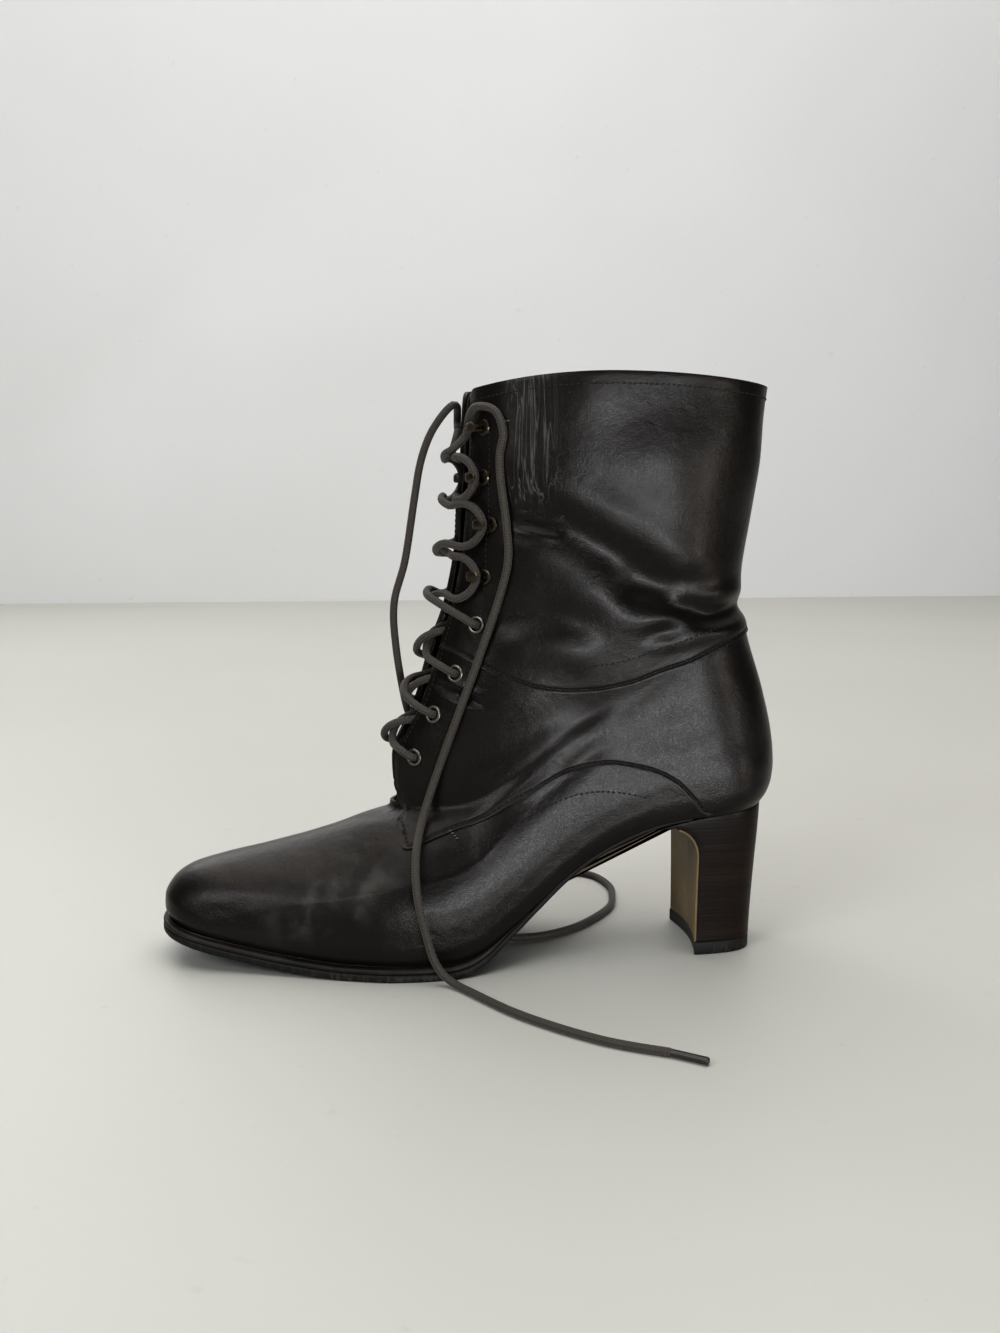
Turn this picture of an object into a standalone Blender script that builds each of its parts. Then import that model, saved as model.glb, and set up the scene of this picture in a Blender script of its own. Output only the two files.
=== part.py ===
"""Left lace-up ankle boot with a block heel, standing empty on its sole.

Toe towards -X, outer side of the foot towards -Y, +Z up, origin under the middle of the boot.
The upper is a stack of level loops that runs from the feather edge, where it meets the sole, to the
collar. Every loop goes round the foot once, and its plan is the sole's own outline blended into the
oval of the shaft. The sole pieces take their outline from the lowest loop.
"""

import math

import bmesh
import bpy
from mathutils import Matrix, Vector

# Driving sizes, in millimetres.
MM = 0.001
CENTRE = (0.88, 0.31, 0.0)
GAP = 0.3
WALL = 2.0
TONGUE_WALL = 1.6
INSOLE = 2.0
LIFT = 5.5
COVER = 1.0
LACE = 3.2
LACE_RISE = 0.5
LACE_SPACING = 10.0
CROSSING_SPACING = 8.0
AGLET_WIDTH = 2.6
EYELET_TURN = 0.2
HOOK_TURN = 2.0
RINGS = 18
BRIDGE = 2
STEPS = 2

# Sole, from the toe to the back of the heel seat: half width and middle line of the feather edge,
# height of the walking face, thickness of the outsole, height taken by the rand above it, and how
# far the outsole reaches beyond the feather edge.
SOLE_COLUMNS = ("x", "half", "axis", "bottom", "sole", "rand", "margin")
SOLE_ROWS = (
    (-131.0, 22.4, 3.4, 12.4, 3.0, 2.2, 1.6),
    (-119.0, 23.4, 3.0, 9.8, 3.0, 2.2, 2.2),
    (-107.0, 24.9, 2.8, 7.2, 3.1, 2.2, 2.6),
    (-96.0, 27.2, 2.8, 5.0, 3.1, 2.2, 2.9),
    (-81.0, 30.9, 2.6, 2.5, 3.1, 2.2, 2.9),
    (-64.0, 35.4, 1.9, 0.7, 3.1, 2.2, 2.9),
    (-52.0, 38.0, 1.2, 0.0, 3.1, 2.2, 2.9),
    (-35.0, 40.1, -0.4, 0.0, 3.1, 2.2, 2.9),
    (-13.0, 38.2, -2.0, 0.0, 3.1, 2.2, 2.7),
    (-5.0, 36.6, -2.3, 1.1, 3.1, 2.2, 2.3),
    (1.5, 35.2, -2.3, 3.9, 3.1, 2.1, 1.7),
    (13.0, 32.6, -2.1, 13.1, 3.1, 1.4, 0.4),
    (25.5, 30.4, -1.8, 24.4, 3.0, 0.5, -0.8),
    (38.0, 29.0, -1.5, 35.6, 2.8, 0.0, -1.6),
    (50.0, 28.2, -1.3, 44.0, 2.6, 0.0, -2.0),
    (62.5, 27.8, -1.2, 50.6, 2.4, 0.0, -2.0),
    (73.0, 27.7, -1.2, 54.8, 2.0, 0.0, -1.8),
    (84.0, 27.8, -1.3, 57.9, 1.4, 0.0, -1.4),
    (95.0, 28.0, -1.3, 60.0, 0.7, 0.0, -1.0),
    (110.0, 28.0, -1.2, 62.0, 0.5, 0.0, -1.0),
    (125.0, 28.0, -1.0, 63.4, 0.5, 0.0, -1.0),
)

# Upper, one row for each level from the feather edge up. front and back are the ends of the loop in
# side view, cap and pow the length and squareness of its rounded ends, sag how closely the level
# follows the sole between them, share how far the sole's outline has turned into the shaft's oval,
# spread what the foot part bulges beyond the sole's outline, half the shaft's half width, gap half
# the throat, lead how far the inner flap stands ahead of the outer one, crown the rise at mid side.
LEVEL_COLUMNS = ("front_x", "front_z", "front_cap", "front_pow", "back_x", "back_z", "back_cap", "back_pow",
                 "sag", "share", "spread", "half", "gap", "lead", "crown")
LEVEL_ROWS = {
    "feather": (-128.0, 18.2, 25, 2.5, 122.4, 64.0, 25, 2.4, 1.0, 0.0, 0.0, 31, 6.0, 0, 0),
    "roll": (-129.4, 21.6, 26, 2.5, 125.2, 68.2, 26, 2.4, 1.0, 0.0, 1.2, 31, 6.0, 0, 0),
    "toe_wall": (-129.0, 26.2, 29, 2.4, 127.2, 73.4, 27, 2.3, 1.0, 0.0, 1.8, 31, 6.0, 0, 0),
    "toe_turn": (-125.8, 31.8, 36, 2.3, 128.0, 79.4, 28, 2.2, 1.0, 0.0, 1.8, 31, 6.0, 0, 0),
    "toe_crest": (-119.2, 36.8, 46, 2.2, 127.6, 86.0, 29, 2.2, 1.0, 0.0, 1.4, 31, 6.0, 0, 0),
    "toe_box": (-106.5, 41.0, 60, 2.1, 126.6, 92.8, 30, 2.2, 1.0, 0.02, 0.7, 31, 6.0, 0, 0),
    "vamp_low": (-89.0, 45.0, 80, 2.0, 125.0, 100.4, 31, 2.2, 1.0, 0.06, 0.0, 31, 6.0, 0, 0),
    "vamp_mid": (-69.5, 50.0, 100, 1.9, 122.8, 109.0, 32, 2.2, 0.97, 0.14, -0.8, 31, 6.0, 0, 0),
    "vamp_high": (-50.5, 56.2, 112, 1.8, 120.2, 119.0, 34, 2.2, 0.90, 0.27, -1.4, 31, 6.0, 0, 0),
    "throat_foot": (-34.6, 63.0, 112, 1.8, 117.2, 129.6, 36, 2.2, 0.80, 0.42, -1.6, 31, 6.5, 0.5, 0),
    "eyelet_low": (-34.0, 82.0, 104, 1.85, 114.2, 139.4, 39, 2.2, 0.60, 0.64, -1.6, 31, 8.5, 2.0, 0),
    "instep": (-23.6, 111.0, 88, 2.0, 112.0, 147.4, 42, 2.2, 0.36, 0.86, -1.6, 31, 12.0, 4.0, 0),
    "ankle": (-11.4, 147.0, 72, 2.1, 113.2, 159.0, 46, 2.2, 0.16, 1.0, 0.0, 31.5, 12.0, 4.5, 0.5),
    "shaft_low": (-5.4, 178.0, 64, 2.2, 116.2, 180.6, 50, 2.2, 0.05, 1.0, 0.0, 32.5, 9.5, 4.0, 2.0),
    "shaft_mid": (-3.2, 206.0, 60, 2.2, 119.2, 208.0, 52, 2.2, 0.0, 1.0, 0.0, 33.5, 7.0, 3.0, 3.5),
    "collar": (-2.0, 233.0, 58, 2.2, 122.2, 234.4, 54, 2.2, 0.0, 1.0, 0.0, 34.0, 5.5, 2.0, 5.0),
}
THROAT = list(LEVEL_ROWS).index("throat_foot")
TOP = len(LEVEL_ROWS) - 1

# Eyelets and hooks of one side, from the bottom up, by where their middles lie in side view.
EYELETS = ((-25.2, 84.5), (-18.2, 102.5), (-9.4, 119.5), (-0.9, 139.5))
HOOKS = ((0.6, 158.7), (3.4, 179.5), (1.8, 198.0), (2.0, 217.5))
EYELET_FLANGE = 7.4
EYELET_BORE = 4.4
EYELET_BARREL = 5.4
HOLE = 6.0
HOOK_BASE = 7.4
HOOK_WIDTH = 4.2
HOOK_STRIP = 0.9
HOOK_RISE = 5.4

# Heel block, from the top lift up to the seat.
HEEL_BASE_FRONT = 92.4
HEEL_BASE_BACK = 118.6
HEEL_BASE_HALF = 22.6
HEEL_SEAT_FRONT = 74.0
HEEL_SEAT_BACK = 122.0
HEEL_SEAT_HALF = 26.4
HEEL_AXIS = -1.6
HEEL_SQUARE = 3.4
HEEL_TAPER = 0.07
BREAST_HOLLOW = 2.6
BREAST_BEND = 0.68
HEEL_RISES = (0.0, 0.3, 0.6, 0.75, 0.86, 0.94, 0.985, 1.0)
HEEL_COLUMNS = 28
OUTSOLE_END = 90.0

# Free ends of the lace, from the top hooks to the floor, and the tips of their aglets.
LATERAL_END = (
    (-2.0, -9.4, 217.4), (-1.4, -12.2, 222.2), (1.2, -17.8, 225.8), (7.8, -23.4, 223.8), (10.8, -25.4, 215.5),
    (9.6, -24.3, 207.0), (9.9, -24.4, 197.1), (11.9, -25.5, 181.5), (12.7, -25.9, 165.8), (9.0, -24.6, 149.8),
    (1.0, -22.9, 125.8), (-7.1, -22.1, 103.4), (-15.3, -20.6, 80.3), (-21.3, -23.4, 62.8), (-24.9, -36.8, 50.4),
    (-24.8, -44.8, 36.0), (-21.7, -45.6, 21.0), (-17.5, -47.6, 8.5), (-9.5, -52.6, 1.9), (11.5, -81.9, 1.7),
    (37.2, -106.1, 1.7), (60.0, -118.8, 1.7),
)
LATERAL_TIP = (71.0, -126.6, 1.7)
MEDIAL_END = (
    (-4.6, 9.6, 217.8), (-4.6, 13.0, 220.8), (-4.6, 12.0, 224.4), (-5.0, 8.6, 227.2), (-7.2, 6.2, 227.6),
    (-11.7, 7.0, 222.9), (-16.6, 9.0, 214.9), (-20.3, 11.0, 203.9), (-22.9, 12.0, 189.0), (-26.9, 13.0, 164.0),
    (-31.7, 14.0, 145.7), (-31.1, 14.5, 126.9), (-27.5, 15.2, 103.9), (-23.8, 17.0, 92.0), (-19.6, 18.6, 79.9),
    (-10.9, 22.4, 66.3), (-2.5, 31.8, 55.3), (6.3, 36.2, 44.2), (13.0, 37.0, 34.0), (20.0, 40.0, 19.0),
    (26.0, 50.0, 6.5), (34.0, 67.0, 1.9), (46.0, 83.0, 1.7), (58.0, 90.5, 1.7), (67.5, 84.0, 1.7),
    (72.0, 68.0, 1.7), (70.9, 53.5, 1.7), (65.6, 34.8, 1.7), (49.0, 13.0, 1.7), (31.8, 1.8, 1.7), (17.0, -0.5, 1.7),
)
MEDIAL_TIP = (3.5, 0.2, 1.7)


def column(xs, ys):
    """A smooth curve through one column of a table that never swings past its rows."""
    step = [b - a for a, b in zip(xs, xs[1:])]
    rate = [(b - a) / h for a, b, h in zip(ys, ys[1:], step)]
    slope = [rate[0]]
    for (h0, h1), (r0, r1) in zip(zip(step, step[1:]), zip(rate, rate[1:])):
        w0, w1 = 2 * h1 + h0, h1 + 2 * h0
        slope.append((w0 + w1) / (w0 / r0 + w1 / r1) if r0 * r1 > 0 else 0.0)
    slope.append(rate[-1])

    def value(x):
        x = min(max(x, xs[0]), xs[-1])
        i = min(sum(x >= s for s in xs[1:-1]), len(step) - 1)
        t = (x - xs[i]) / step[i]
        a = ys[i] + t * step[i] * slope[i] * (1 - t) ** 2 + (ys[i + 1] - ys[i]) * t * t * (3 - 2 * t)
        return a + t * t * (t - 1) * step[i] * slope[i + 1]

    return value


sole = {
    name: column([row[0] for row in SOLE_ROWS], [row[i] for row in SOLE_ROWS])
    for i, name in enumerate(SOLE_COLUMNS)
}
levels = {
    name: column(list(range(TOP + 1)), [row[i] for row in LEVEL_ROWS.values()])
    for i, name in enumerate(LEVEL_COLUMNS)
}


def mix(a, b, t):
    return a + (b - a) * t


def feather(x):
    return sole["bottom"](x) + sole["sole"](x) + sole["rand"](x) + GAP


def cap(reach, length, power):
    """Share of the full width at some reach from the rounded end of a loop."""
    rest = 1 - min(max(reach / length, 0.0), 1.0)
    return (1 - rest**power) ** (1 / power)


def skin(v, turn):
    """Point of the upper's outer face at level v; turn runs from 0 in front to pi at the back, below
    0 on the outer side of the foot and above 0 on the inner side."""
    row = {name: curve(v) for name, curve in levels.items()}
    share = (1 - math.cos(turn)) / 2
    x = mix(row["front_x"], row["back_x"], share)
    foot = sole["half"](x) + row["spread"]
    half = mix(foot, row["half"], row["share"])
    half *= cap(x - row["front_x"], row["front_cap"], row["front_pow"])
    half *= cap(row["back_x"] - x, row["back_cap"], row["back_pow"])
    side = math.copysign(half, turn)
    chord = mix(feather(row["front_x"]), feather(row["back_x"]), share)
    z = mix(row["front_z"], row["back_z"], share) + row["sag"] * (feather(x) - chord)
    z += row["crown"] * share * (1 - share) * (5.2 - 2.4 * share)
    lead = min(max(side / row["gap"], -1), 1) * row["lead"] / 2 * (1 - share) ** 2
    return Vector((x - lead, sole["axis"](x) * (1 - row["share"]) + side, z))


def outward(v, turn):
    """Unit normal of the outer face."""
    dv, dt = 0.02, 0.02
    low, high = max(v - dv, 0), min(v + dv, TOP)
    along = skin(v, turn + dt) - skin(v, turn - dt)
    return along.cross(skin(high, turn) - skin(low, turn)).normalized()


def turn_at(v, width):
    """How far round level v the half width first reaches a value."""
    low, high = 0.0, math.pi / 2
    for _ in range(40):
        middle = (low + high) / 2
        point = skin(v, middle)
        share = 1 - levels["share"](v)
        if point.y - sole["axis"](point.x) * share < width:
            low = middle
        else:
            high = middle
    return (low + high) / 2


def on_side(x, z, side):
    """Level and turn of the point that lies at x, z in side view, on the outer (-1) or inner (1) side."""
    low, high = 0.0, float(TOP)
    for _ in range(40):
        v = (low + high) / 2
        front, back = levels["front_x"](v), levels["back_x"](v)
        share = min(max((x - front) / (back - front), 0.0), 1.0)
        turn = side * math.acos(1 - 2 * share)
        if skin(v, turn).z < z:
            low = v
        else:
            high = v
    return v, turn


def turns(v):
    """Turns of the columns of one side: the bridge over the throat, its edge and the side to the back."""
    edge = turn_at(v, levels["gap"](v))
    bridge = [edge * i / BRIDGE for i in range(BRIDGE)]
    return bridge + [mix(edge, math.pi, i / RINGS) for i in range(RINGS + 1)]


def material(name, colour, metallic=0.0, roughness=0.6):
    made = bpy.data.materials.new(name)
    made.use_nodes = True
    shader = made.node_tree.nodes["Principled BSDF"]
    shader.inputs["Base Color"].default_value = (*colour, 1)
    shader.inputs["Metallic"].default_value = metallic
    shader.inputs["Roughness"].default_value = roughness
    return made


LEATHER = material("leather", (0.012, 0.010, 0.009), 0, 0.4)
TONGUE_LEATHER = material("tongue_leather", (0.010, 0.009, 0.008), 0, 0.5)
SOLE_RUBBER = material("sole_rubber", (0.008, 0.008, 0.008), 0, 0.6)
RAND_LEATHER = material("rand_leather", (0.020, 0.017, 0.015), 0, 0.5)
INSOLE_LEATHER = material("insole_leather", (0.22, 0.16, 0.11), 0, 0.7)
STACKED_LEATHER = material("stacked_leather", (0.020, 0.009, 0.006), 0, 0.45)
BREAST_LEATHER = material("breast_leather", (0.12, 0.085, 0.045), 0, 0.6)
BRASS = material("antique_brass", (0.19, 0.13, 0.065), 1.0, 0.4)
CORD = material("waxed_cord", (0.09, 0.075, 0.06), 0, 0.7)
AGLET = material("aglet_plastic", (0.03, 0.025, 0.02), 0, 0.4)


def add(name, mesh, look):
    """Object from a mesh, moved so that the middle of the whole boot stands over the origin."""
    mesh.transform(Matrix.Translation(Vector(CENTRE) * MM))
    thing = bpy.data.objects.new(name, mesh)
    mesh.materials.clear()
    mesh.materials.append(look)
    bpy.context.scene.collection.objects.link(thing)
    return thing


def build(name, bm, look):
    """Finish a bmesh in millimetres as a named object in metres."""
    bmesh.ops.scale(bm, vec=(MM, MM, MM), verts=bm.verts)
    mesh = bpy.data.meshes.new(name)
    bm.to_mesh(mesh)
    bm.free()
    return add(name, mesh, look)


def applied(thing):
    """The object with its modifiers made into plain mesh."""
    bpy.context.view_layer.update()
    seen = thing.evaluated_get(bpy.context.evaluated_depsgraph_get())
    mesh = bpy.data.meshes.new_from_object(seen)
    thing.modifiers.clear()
    thing.data = mesh
    return thing


def boolean(thing, operation, other):
    """Join another object to this one or cut it away, then drop the other."""
    modifier = thing.modifiers.new(operation.lower(), "BOOLEAN")
    modifier.operation = operation
    modifier.solver = "EXACT"
    modifier.object = other
    applied(thing)
    bpy.data.objects.remove(other)
    return thing


def solidify(thing, thickness):
    modifier = thing.modifiers.new("wall", "SOLIDIFY")
    modifier.thickness = thickness * MM
    modifier.offset = -1
    modifier.use_even_offset = True
    modifier.use_quality_normals = True
    return applied(thing)


def sheet(rows):
    """Quads between rows of points; None leaves a point out, and with it the faces that need it."""
    bm = bmesh.new()
    grid = [[point and bm.verts.new(point) for point in row] for row in rows]
    for low, high in zip(grid, grid[1:]):
        for i in range(len(low) - 1):
            corners = (low[i], low[i + 1], high[i + 1], high[i])
            if all(corners):
                bm.faces.new(corners)
    bmesh.ops.remove_doubles(bm, verts=bm.verts, dist=1e-4)
    return bm


def stack(rings):
    """Solid from rings of points that start in front, run down the outer side to the back and return
    by the inner side; the first and last ring are closed by strips across."""
    bm = bmesh.new()
    made = [[bm.verts.new(point) for point in ring] for ring in rings]
    count = len(made[0])
    for low, high in zip(made, made[1:]):
        for i in range(count):
            bm.faces.new((low[i], low[(i + 1) % count], high[(i + 1) % count], high[i]))
    for ring in (made[0], made[-1]):
        for i in range(count // 2):
            corners = (ring[i], ring[i + 1], ring[-i - 1], ring[-i])
            bm.faces.new(list(dict.fromkeys(corners)))
    bmesh.ops.recalc_face_normals(bm, faces=bm.faces)
    return bm


def around(margin):
    """The feather edge, moved outwards in plan by a margin that may depend on x: front, outer side,
    back, inner side, each with the x it had on the feather edge."""
    angles = turns(0)
    loop = [skin(0, 0.0)] + [skin(0, -t) for t in angles[1:-1]]
    loop += [skin(0, math.pi)] + [skin(0, t) for t in angles[-2:0:-1]]
    points = []
    for i, point in enumerate(loop):
        ahead = loop[(i + 1) % len(loop)] - loop[i - 1]
        normal = Vector((ahead.y, -ahead.x, 0)).normalized()
        moved = point + normal * (margin(point.x) if callable(margin) else margin)
        points.append((moved.x, moved.y, point.x))
    return points


def ring(margin, height, end=math.inf):
    return [Vector((x, y, height(x))) for x, y, station in around(margin) if station < end]


def upper():
    """The whole upper as one hollow solid, open at the collar, the throat and underneath."""
    rows = []
    for i in range(TOP * STEPS + 1):
        v = i / STEPS
        side = turns(v)
        open_front = v > THROAT
        outer = [None if open_front and k < BRIDGE else skin(v, -t) for k, t in enumerate(side)]
        inner = [None if open_front and k < BRIDGE else skin(v, t) for k, t in enumerate(side)]
        rows.append(outer[:-1] + inner[::-1])
    thing = build("upper", sheet(rows), LEATHER)
    solidify(thing, WALL)
    for x, z in EYELETS:
        for side in (-1, 1):
            seat = place(x, z, side)
            bm = bmesh.new()
            bmesh.ops.create_cone(bm, cap_ends=True, segments=8, radius1=HOLE / 2, radius2=HOLE / 2, depth=12)
            bmesh.ops.transform(bm, matrix=seat, verts=bm.verts)
            boolean(thing, "DIFFERENCE", build("hole", bm, LEATHER))
    return thing


def place(x, z, side):
    """Frame on the outer face: its X towards the throat, its Z outwards."""
    v, turn = on_side(x, z, side)
    point, normal = skin(v, turn), outward(v, turn)
    if normal.dot(Vector((0, side, 0))) < 0:
        normal = -normal
    forward = Vector((-1, 0, 0))
    forward = (forward - normal * forward.dot(normal)).normalized()
    frame = Matrix((forward, normal.cross(forward), normal)).transposed().to_4x4()
    frame.translation = point
    return frame


def front(v, y):
    """Turn of a point of the closed front at level v that lies y off its middle."""
    return math.copysign(turn_at(v, abs(y)), y) if abs(y) > 0.01 else 0.0


def lifted(v, turn, height):
    normal = outward(v, turn)
    if normal.x > 0:
        normal = -normal
    return skin(v, turn) + normal * height


def tongue():
    """Tongue under the flaps, from inside the vamp to just under the collar."""
    rows = []
    for i in range(15):
        v = mix(THROAT - 0.9, TOP - 0.12, i / 14)
        reach = levels["gap"](v) + mix(4.5, 11.0, i / 14)
        rows.append([lifted(v, front(v, reach * k / 4), -WALL - 1.4) for k in range(4, -5, -1)])
    thing = build("tongue", sheet(rows), TONGUE_LEATHER)
    return solidify(thing, TONGUE_WALL)


def insole():
    inside = -WALL - 1.6
    low = ring(inside, lambda x: sole["bottom"](x) + sole["sole"](x) + 2 * GAP)
    high = ring(inside, lambda x: feather(x) + INSOLE)
    return build("insole", stack([low, high]), INSOLE_LEATHER)


def outsole():
    def edge(inset):
        return lambda x: sole["margin"](x) - inset

    def top(x):
        return sole["bottom"](x) + sole["sole"](x)

    rings = [
        ring(edge(0.5), sole["bottom"], OUTSOLE_END),
        ring(edge(0.0), lambda x: sole["bottom"](x) + 0.4, OUTSOLE_END),
        ring(edge(0.0), lambda x: top(x) - 0.4, OUTSOLE_END),
        ring(edge(0.4), top, OUTSOLE_END),
    ]
    return build("outsole", stack(rings), SOLE_RUBBER)


def rand():
    """Narrow strip between upper and outsole, round the forefoot from waist to waist."""
    def keep(points):
        last = max(i for i, p in enumerate(around(0)[: len(points) // 2]) if sole["rand"](p[2]) > 0.9)
        return points[-last:] + points[: last + 1]

    def low(x):
        return sole["bottom"](x) + sole["sole"](x) + GAP

    def high(x):
        return low(x) + sole["rand"](x) - GAP

    def edge(inset):
        return lambda x: sole["margin"](x) - inset

    lines = [
        keep(ring(edge(0.6), low)),
        keep(ring(edge(0.3), lambda x: mix(low(x), high(x), 0.5))),
        keep(ring(edge(0.8), high)),
        keep(ring(-WALL - 1.2, high)),
        keep(ring(-WALL - 1.2, low)),
    ]
    bm = bmesh.new()
    rows = [[bm.verts.new(point) for point in section] for section in zip(*lines)]
    for near, far in zip(rows, rows[1:]):
        for i in range(len(lines)):
            k = (i + 1) % len(lines)
            bm.faces.new((near[i], near[k], far[k], far[i]))
    bm.faces.new(rows[0])
    bm.faces.new(rows[-1])
    bmesh.ops.recalc_face_normals(bm, faces=bm.faces)
    return build("rand", bm, RAND_LEATHER)


def heel_plan(front_x, back_x, half, hollow, angle):
    """Plan of the heel at one height; angle runs round from the middle of the breast."""
    corner = 0.30 * math.pi
    reach = abs(angle)
    if reach <= corner:
        share = reach / corner
        return front_x + hollow * (1 - share**2), math.copysign(half * share, angle)
    swing = (reach - corner) / (math.pi - corner) * math.pi / 2
    share = math.sin(swing) ** (2 / HEEL_SQUARE)
    side = half * (1 - HEEL_TAPER * share) * max(math.cos(swing), 0.0) ** (2 / HEEL_SQUARE)
    return mix(front_x, back_x, share), math.copysign(side, angle)


def heel_point(angle, rise, proud=0.0):
    """Point of the heel's outside; rise runs from 0 on the top lift to 1 at the seat."""
    flare = max(0.0, (rise - BREAST_BEND) / (1 - BREAST_BEND))
    bend = 1 - math.sqrt(1 - flare**2)
    front_x = mix(HEEL_BASE_FRONT, HEEL_SEAT_FRONT, bend) - proud
    back_x = mix(HEEL_BASE_BACK, HEEL_SEAT_BACK, rise**1.3)
    half = mix(HEEL_BASE_HALF, HEEL_SEAT_HALF, rise**1.6)
    x, y = heel_plan(front_x, back_x, half, BREAST_HOLLOW * (1 - bend), angle)
    top = sole["bottom"](x) - 2 * GAP
    return Vector((x, HEEL_AXIS + y, mix(LIFT + GAP, top, rise)))


def heel_ring(rise, proud=0.0):
    count = HEEL_COLUMNS
    return [heel_point(-2 * math.pi * i / count, rise, proud) for i in range(count // 2)] + [
        heel_point(math.pi * 2 * (count - i) / count, rise, proud) for i in range(count // 2, count)
    ]


def heel():
    return build("heel_block", stack([heel_ring(rise) for rise in HEEL_RISES]), STACKED_LEATHER)


def top_lift():
    low = [Vector((p.x, p.y, 0)) for p in heel_ring(0, COVER + GAP)]
    high = [Vector((p.x, p.y, LIFT)) for p in heel_ring(0, COVER + GAP)]
    middle = sum(low, Vector()) / len(low)
    worn = [mix(point, Vector((middle.x, middle.y, 0)), 0.02) for point in low]
    side = [Vector((p.x, p.y, 0.6)) for p in low]
    return build("top_lift", stack([worn, side, high]), SOLE_RUBBER)


def breast_cover():
    """Thin leather over the hollow front of the heel."""
    rows = []
    for rise in HEEL_RISES[:-2]:
        row = []
        for k in range(4, -5, -1):
            angle = 2 * math.pi * k / HEEL_COLUMNS
            across = heel_point(angle - 0.02, rise) - heel_point(angle + 0.02, rise)
            along = heel_point(angle, rise + 0.01) - heel_point(angle, max(rise - 0.01, 0))
            row.append(heel_point(angle, rise) + across.cross(along).normalized() * (GAP + COVER))
        rows.append(row)
    thing = build("breast_cover", sheet(rows), BREAST_LEATHER)
    return solidify(thing, COVER)


def eyelet(name, seat):
    """Flanged ring through the wall, turned from its half section."""
    flange, bore, barrel = EYELET_FLANGE / 2, EYELET_BORE / 2, EYELET_BARREL / 2
    base = GAP + 0.1
    section = ((bore, -WALL + 0.2), (barrel, -WALL + 0.2), (barrel, base), (flange, base), (flange - 0.3, base + 0.7),
               (bore + 0.2, base + 0.8))
    bm = bmesh.new()
    corners = [bm.verts.new((r, 0, z)) for r, z in section]
    loop = [bm.edges.new((corners[i], corners[(i + 1) % len(corners)])) for i in range(len(corners))]
    bmesh.ops.spin(bm, geom=corners + loop, cent=(0, 0, 0), axis=(0, 0, 1), angle=2 * math.pi, steps=8,
                   use_merge=True)
    bmesh.ops.remove_doubles(bm, verts=bm.verts, dist=1e-3)
    bmesh.ops.recalc_face_normals(bm, faces=bm.faces)
    bmesh.ops.transform(bm, matrix=seat, verts=bm.verts)
    return build(name, bm, BRASS)


def hook(name, seat):
    """Round base with a strip that rises on the throat side and curls back over the lace."""
    base = GAP + 0.1
    bm = bmesh.new()
    bmesh.ops.create_cone(bm, cap_ends=True, segments=12, radius1=HOOK_BASE / 2, radius2=HOOK_BASE / 2 - 0.3,
                          depth=HOOK_STRIP)
    bmesh.ops.translate(bm, vec=(-2.2, 0, base + HOOK_STRIP / 2), verts=bm.verts)
    bmesh.ops.transform(bm, matrix=seat, verts=bm.verts)
    disc = build(name, bm, BRASS)
    bm = bmesh.new()
    radius = (HOOK_RISE - HOOK_STRIP) / 2
    path = [(-1.0, base + 0.1, 1.0)]
    path += [(1.4 + radius * math.sin(a), base + HOOK_STRIP / 2 + radius - radius * math.cos(a), 1.0)
             for a in (0, 0.9, 1.6, 2.3, 3.0)]
    path += [(-0.8, base + HOOK_RISE - HOOK_STRIP / 2, 1.0), (-2.6, base + HOOK_RISE + 0.1, 0.7)]
    rows = []
    for i, (u, h, width) in enumerate(path):
        before, after = path[max(i - 1, 0)], path[min(i + 1, len(path) - 1)]
        along = Vector((after[0] - before[0], 0, after[1] - before[1])).normalized()
        across = Vector((-along.z, 0, along.x)) * (HOOK_STRIP / 2)
        side = Vector((0, HOOK_WIDTH / 2 * width, 0))
        middle = Vector((u, 0, h))
        rows.append([bm.verts.new(middle + a + b) for a, b in
                     ((across, side), (across, -side), (-across, -side), (-across, side))])
    for near, far in zip(rows, rows[1:]):
        for i in range(4):
            bm.faces.new((near[i], near[(i + 1) % 4], far[(i + 1) % 4], far[i]))
    bm.faces.new(rows[0])
    bm.faces.new(rows[-1])
    bmesh.ops.recalc_face_normals(bm, faces=bm.faces)
    bmesh.ops.transform(bm, matrix=seat, verts=bm.verts)
    return boolean(disc, "UNION", build("strip", bm, BRASS))


def smooth_route(points, spacing):
    """Evenly spaced points of a smooth curve through the given ones."""
    fine = []
    for i in range(len(points) - 1):
        p0, p1 = points[max(i - 1, 0)], points[i]
        p2, p3 = points[i + 1], points[min(i + 2, len(points) - 1)]
        for k in range(12):
            t = k / 12
            fine.append(0.5 * (2 * p1 + (p2 - p0) * t + (2 * p0 - 5 * p1 + 4 * p2 - p3) * t * t
                               + (3 * p1 - p0 - 3 * p2 + p3) * t**3))
    fine.append(points[-1])
    length = sum((b - a).length for a, b in zip(fine, fine[1:]))
    count = max(2, round(length / spacing))
    even, gone, want = [fine[0]], 0.0, length / count
    for a, b in zip(fine, fine[1:]):
        span = (b - a).length
        while len(even) < count and gone + span >= want * len(even):
            even.append(mix(a, b, (want * len(even) - gone) / span))
        gone += span
    even.append(fine[-1])
    return even


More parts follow.
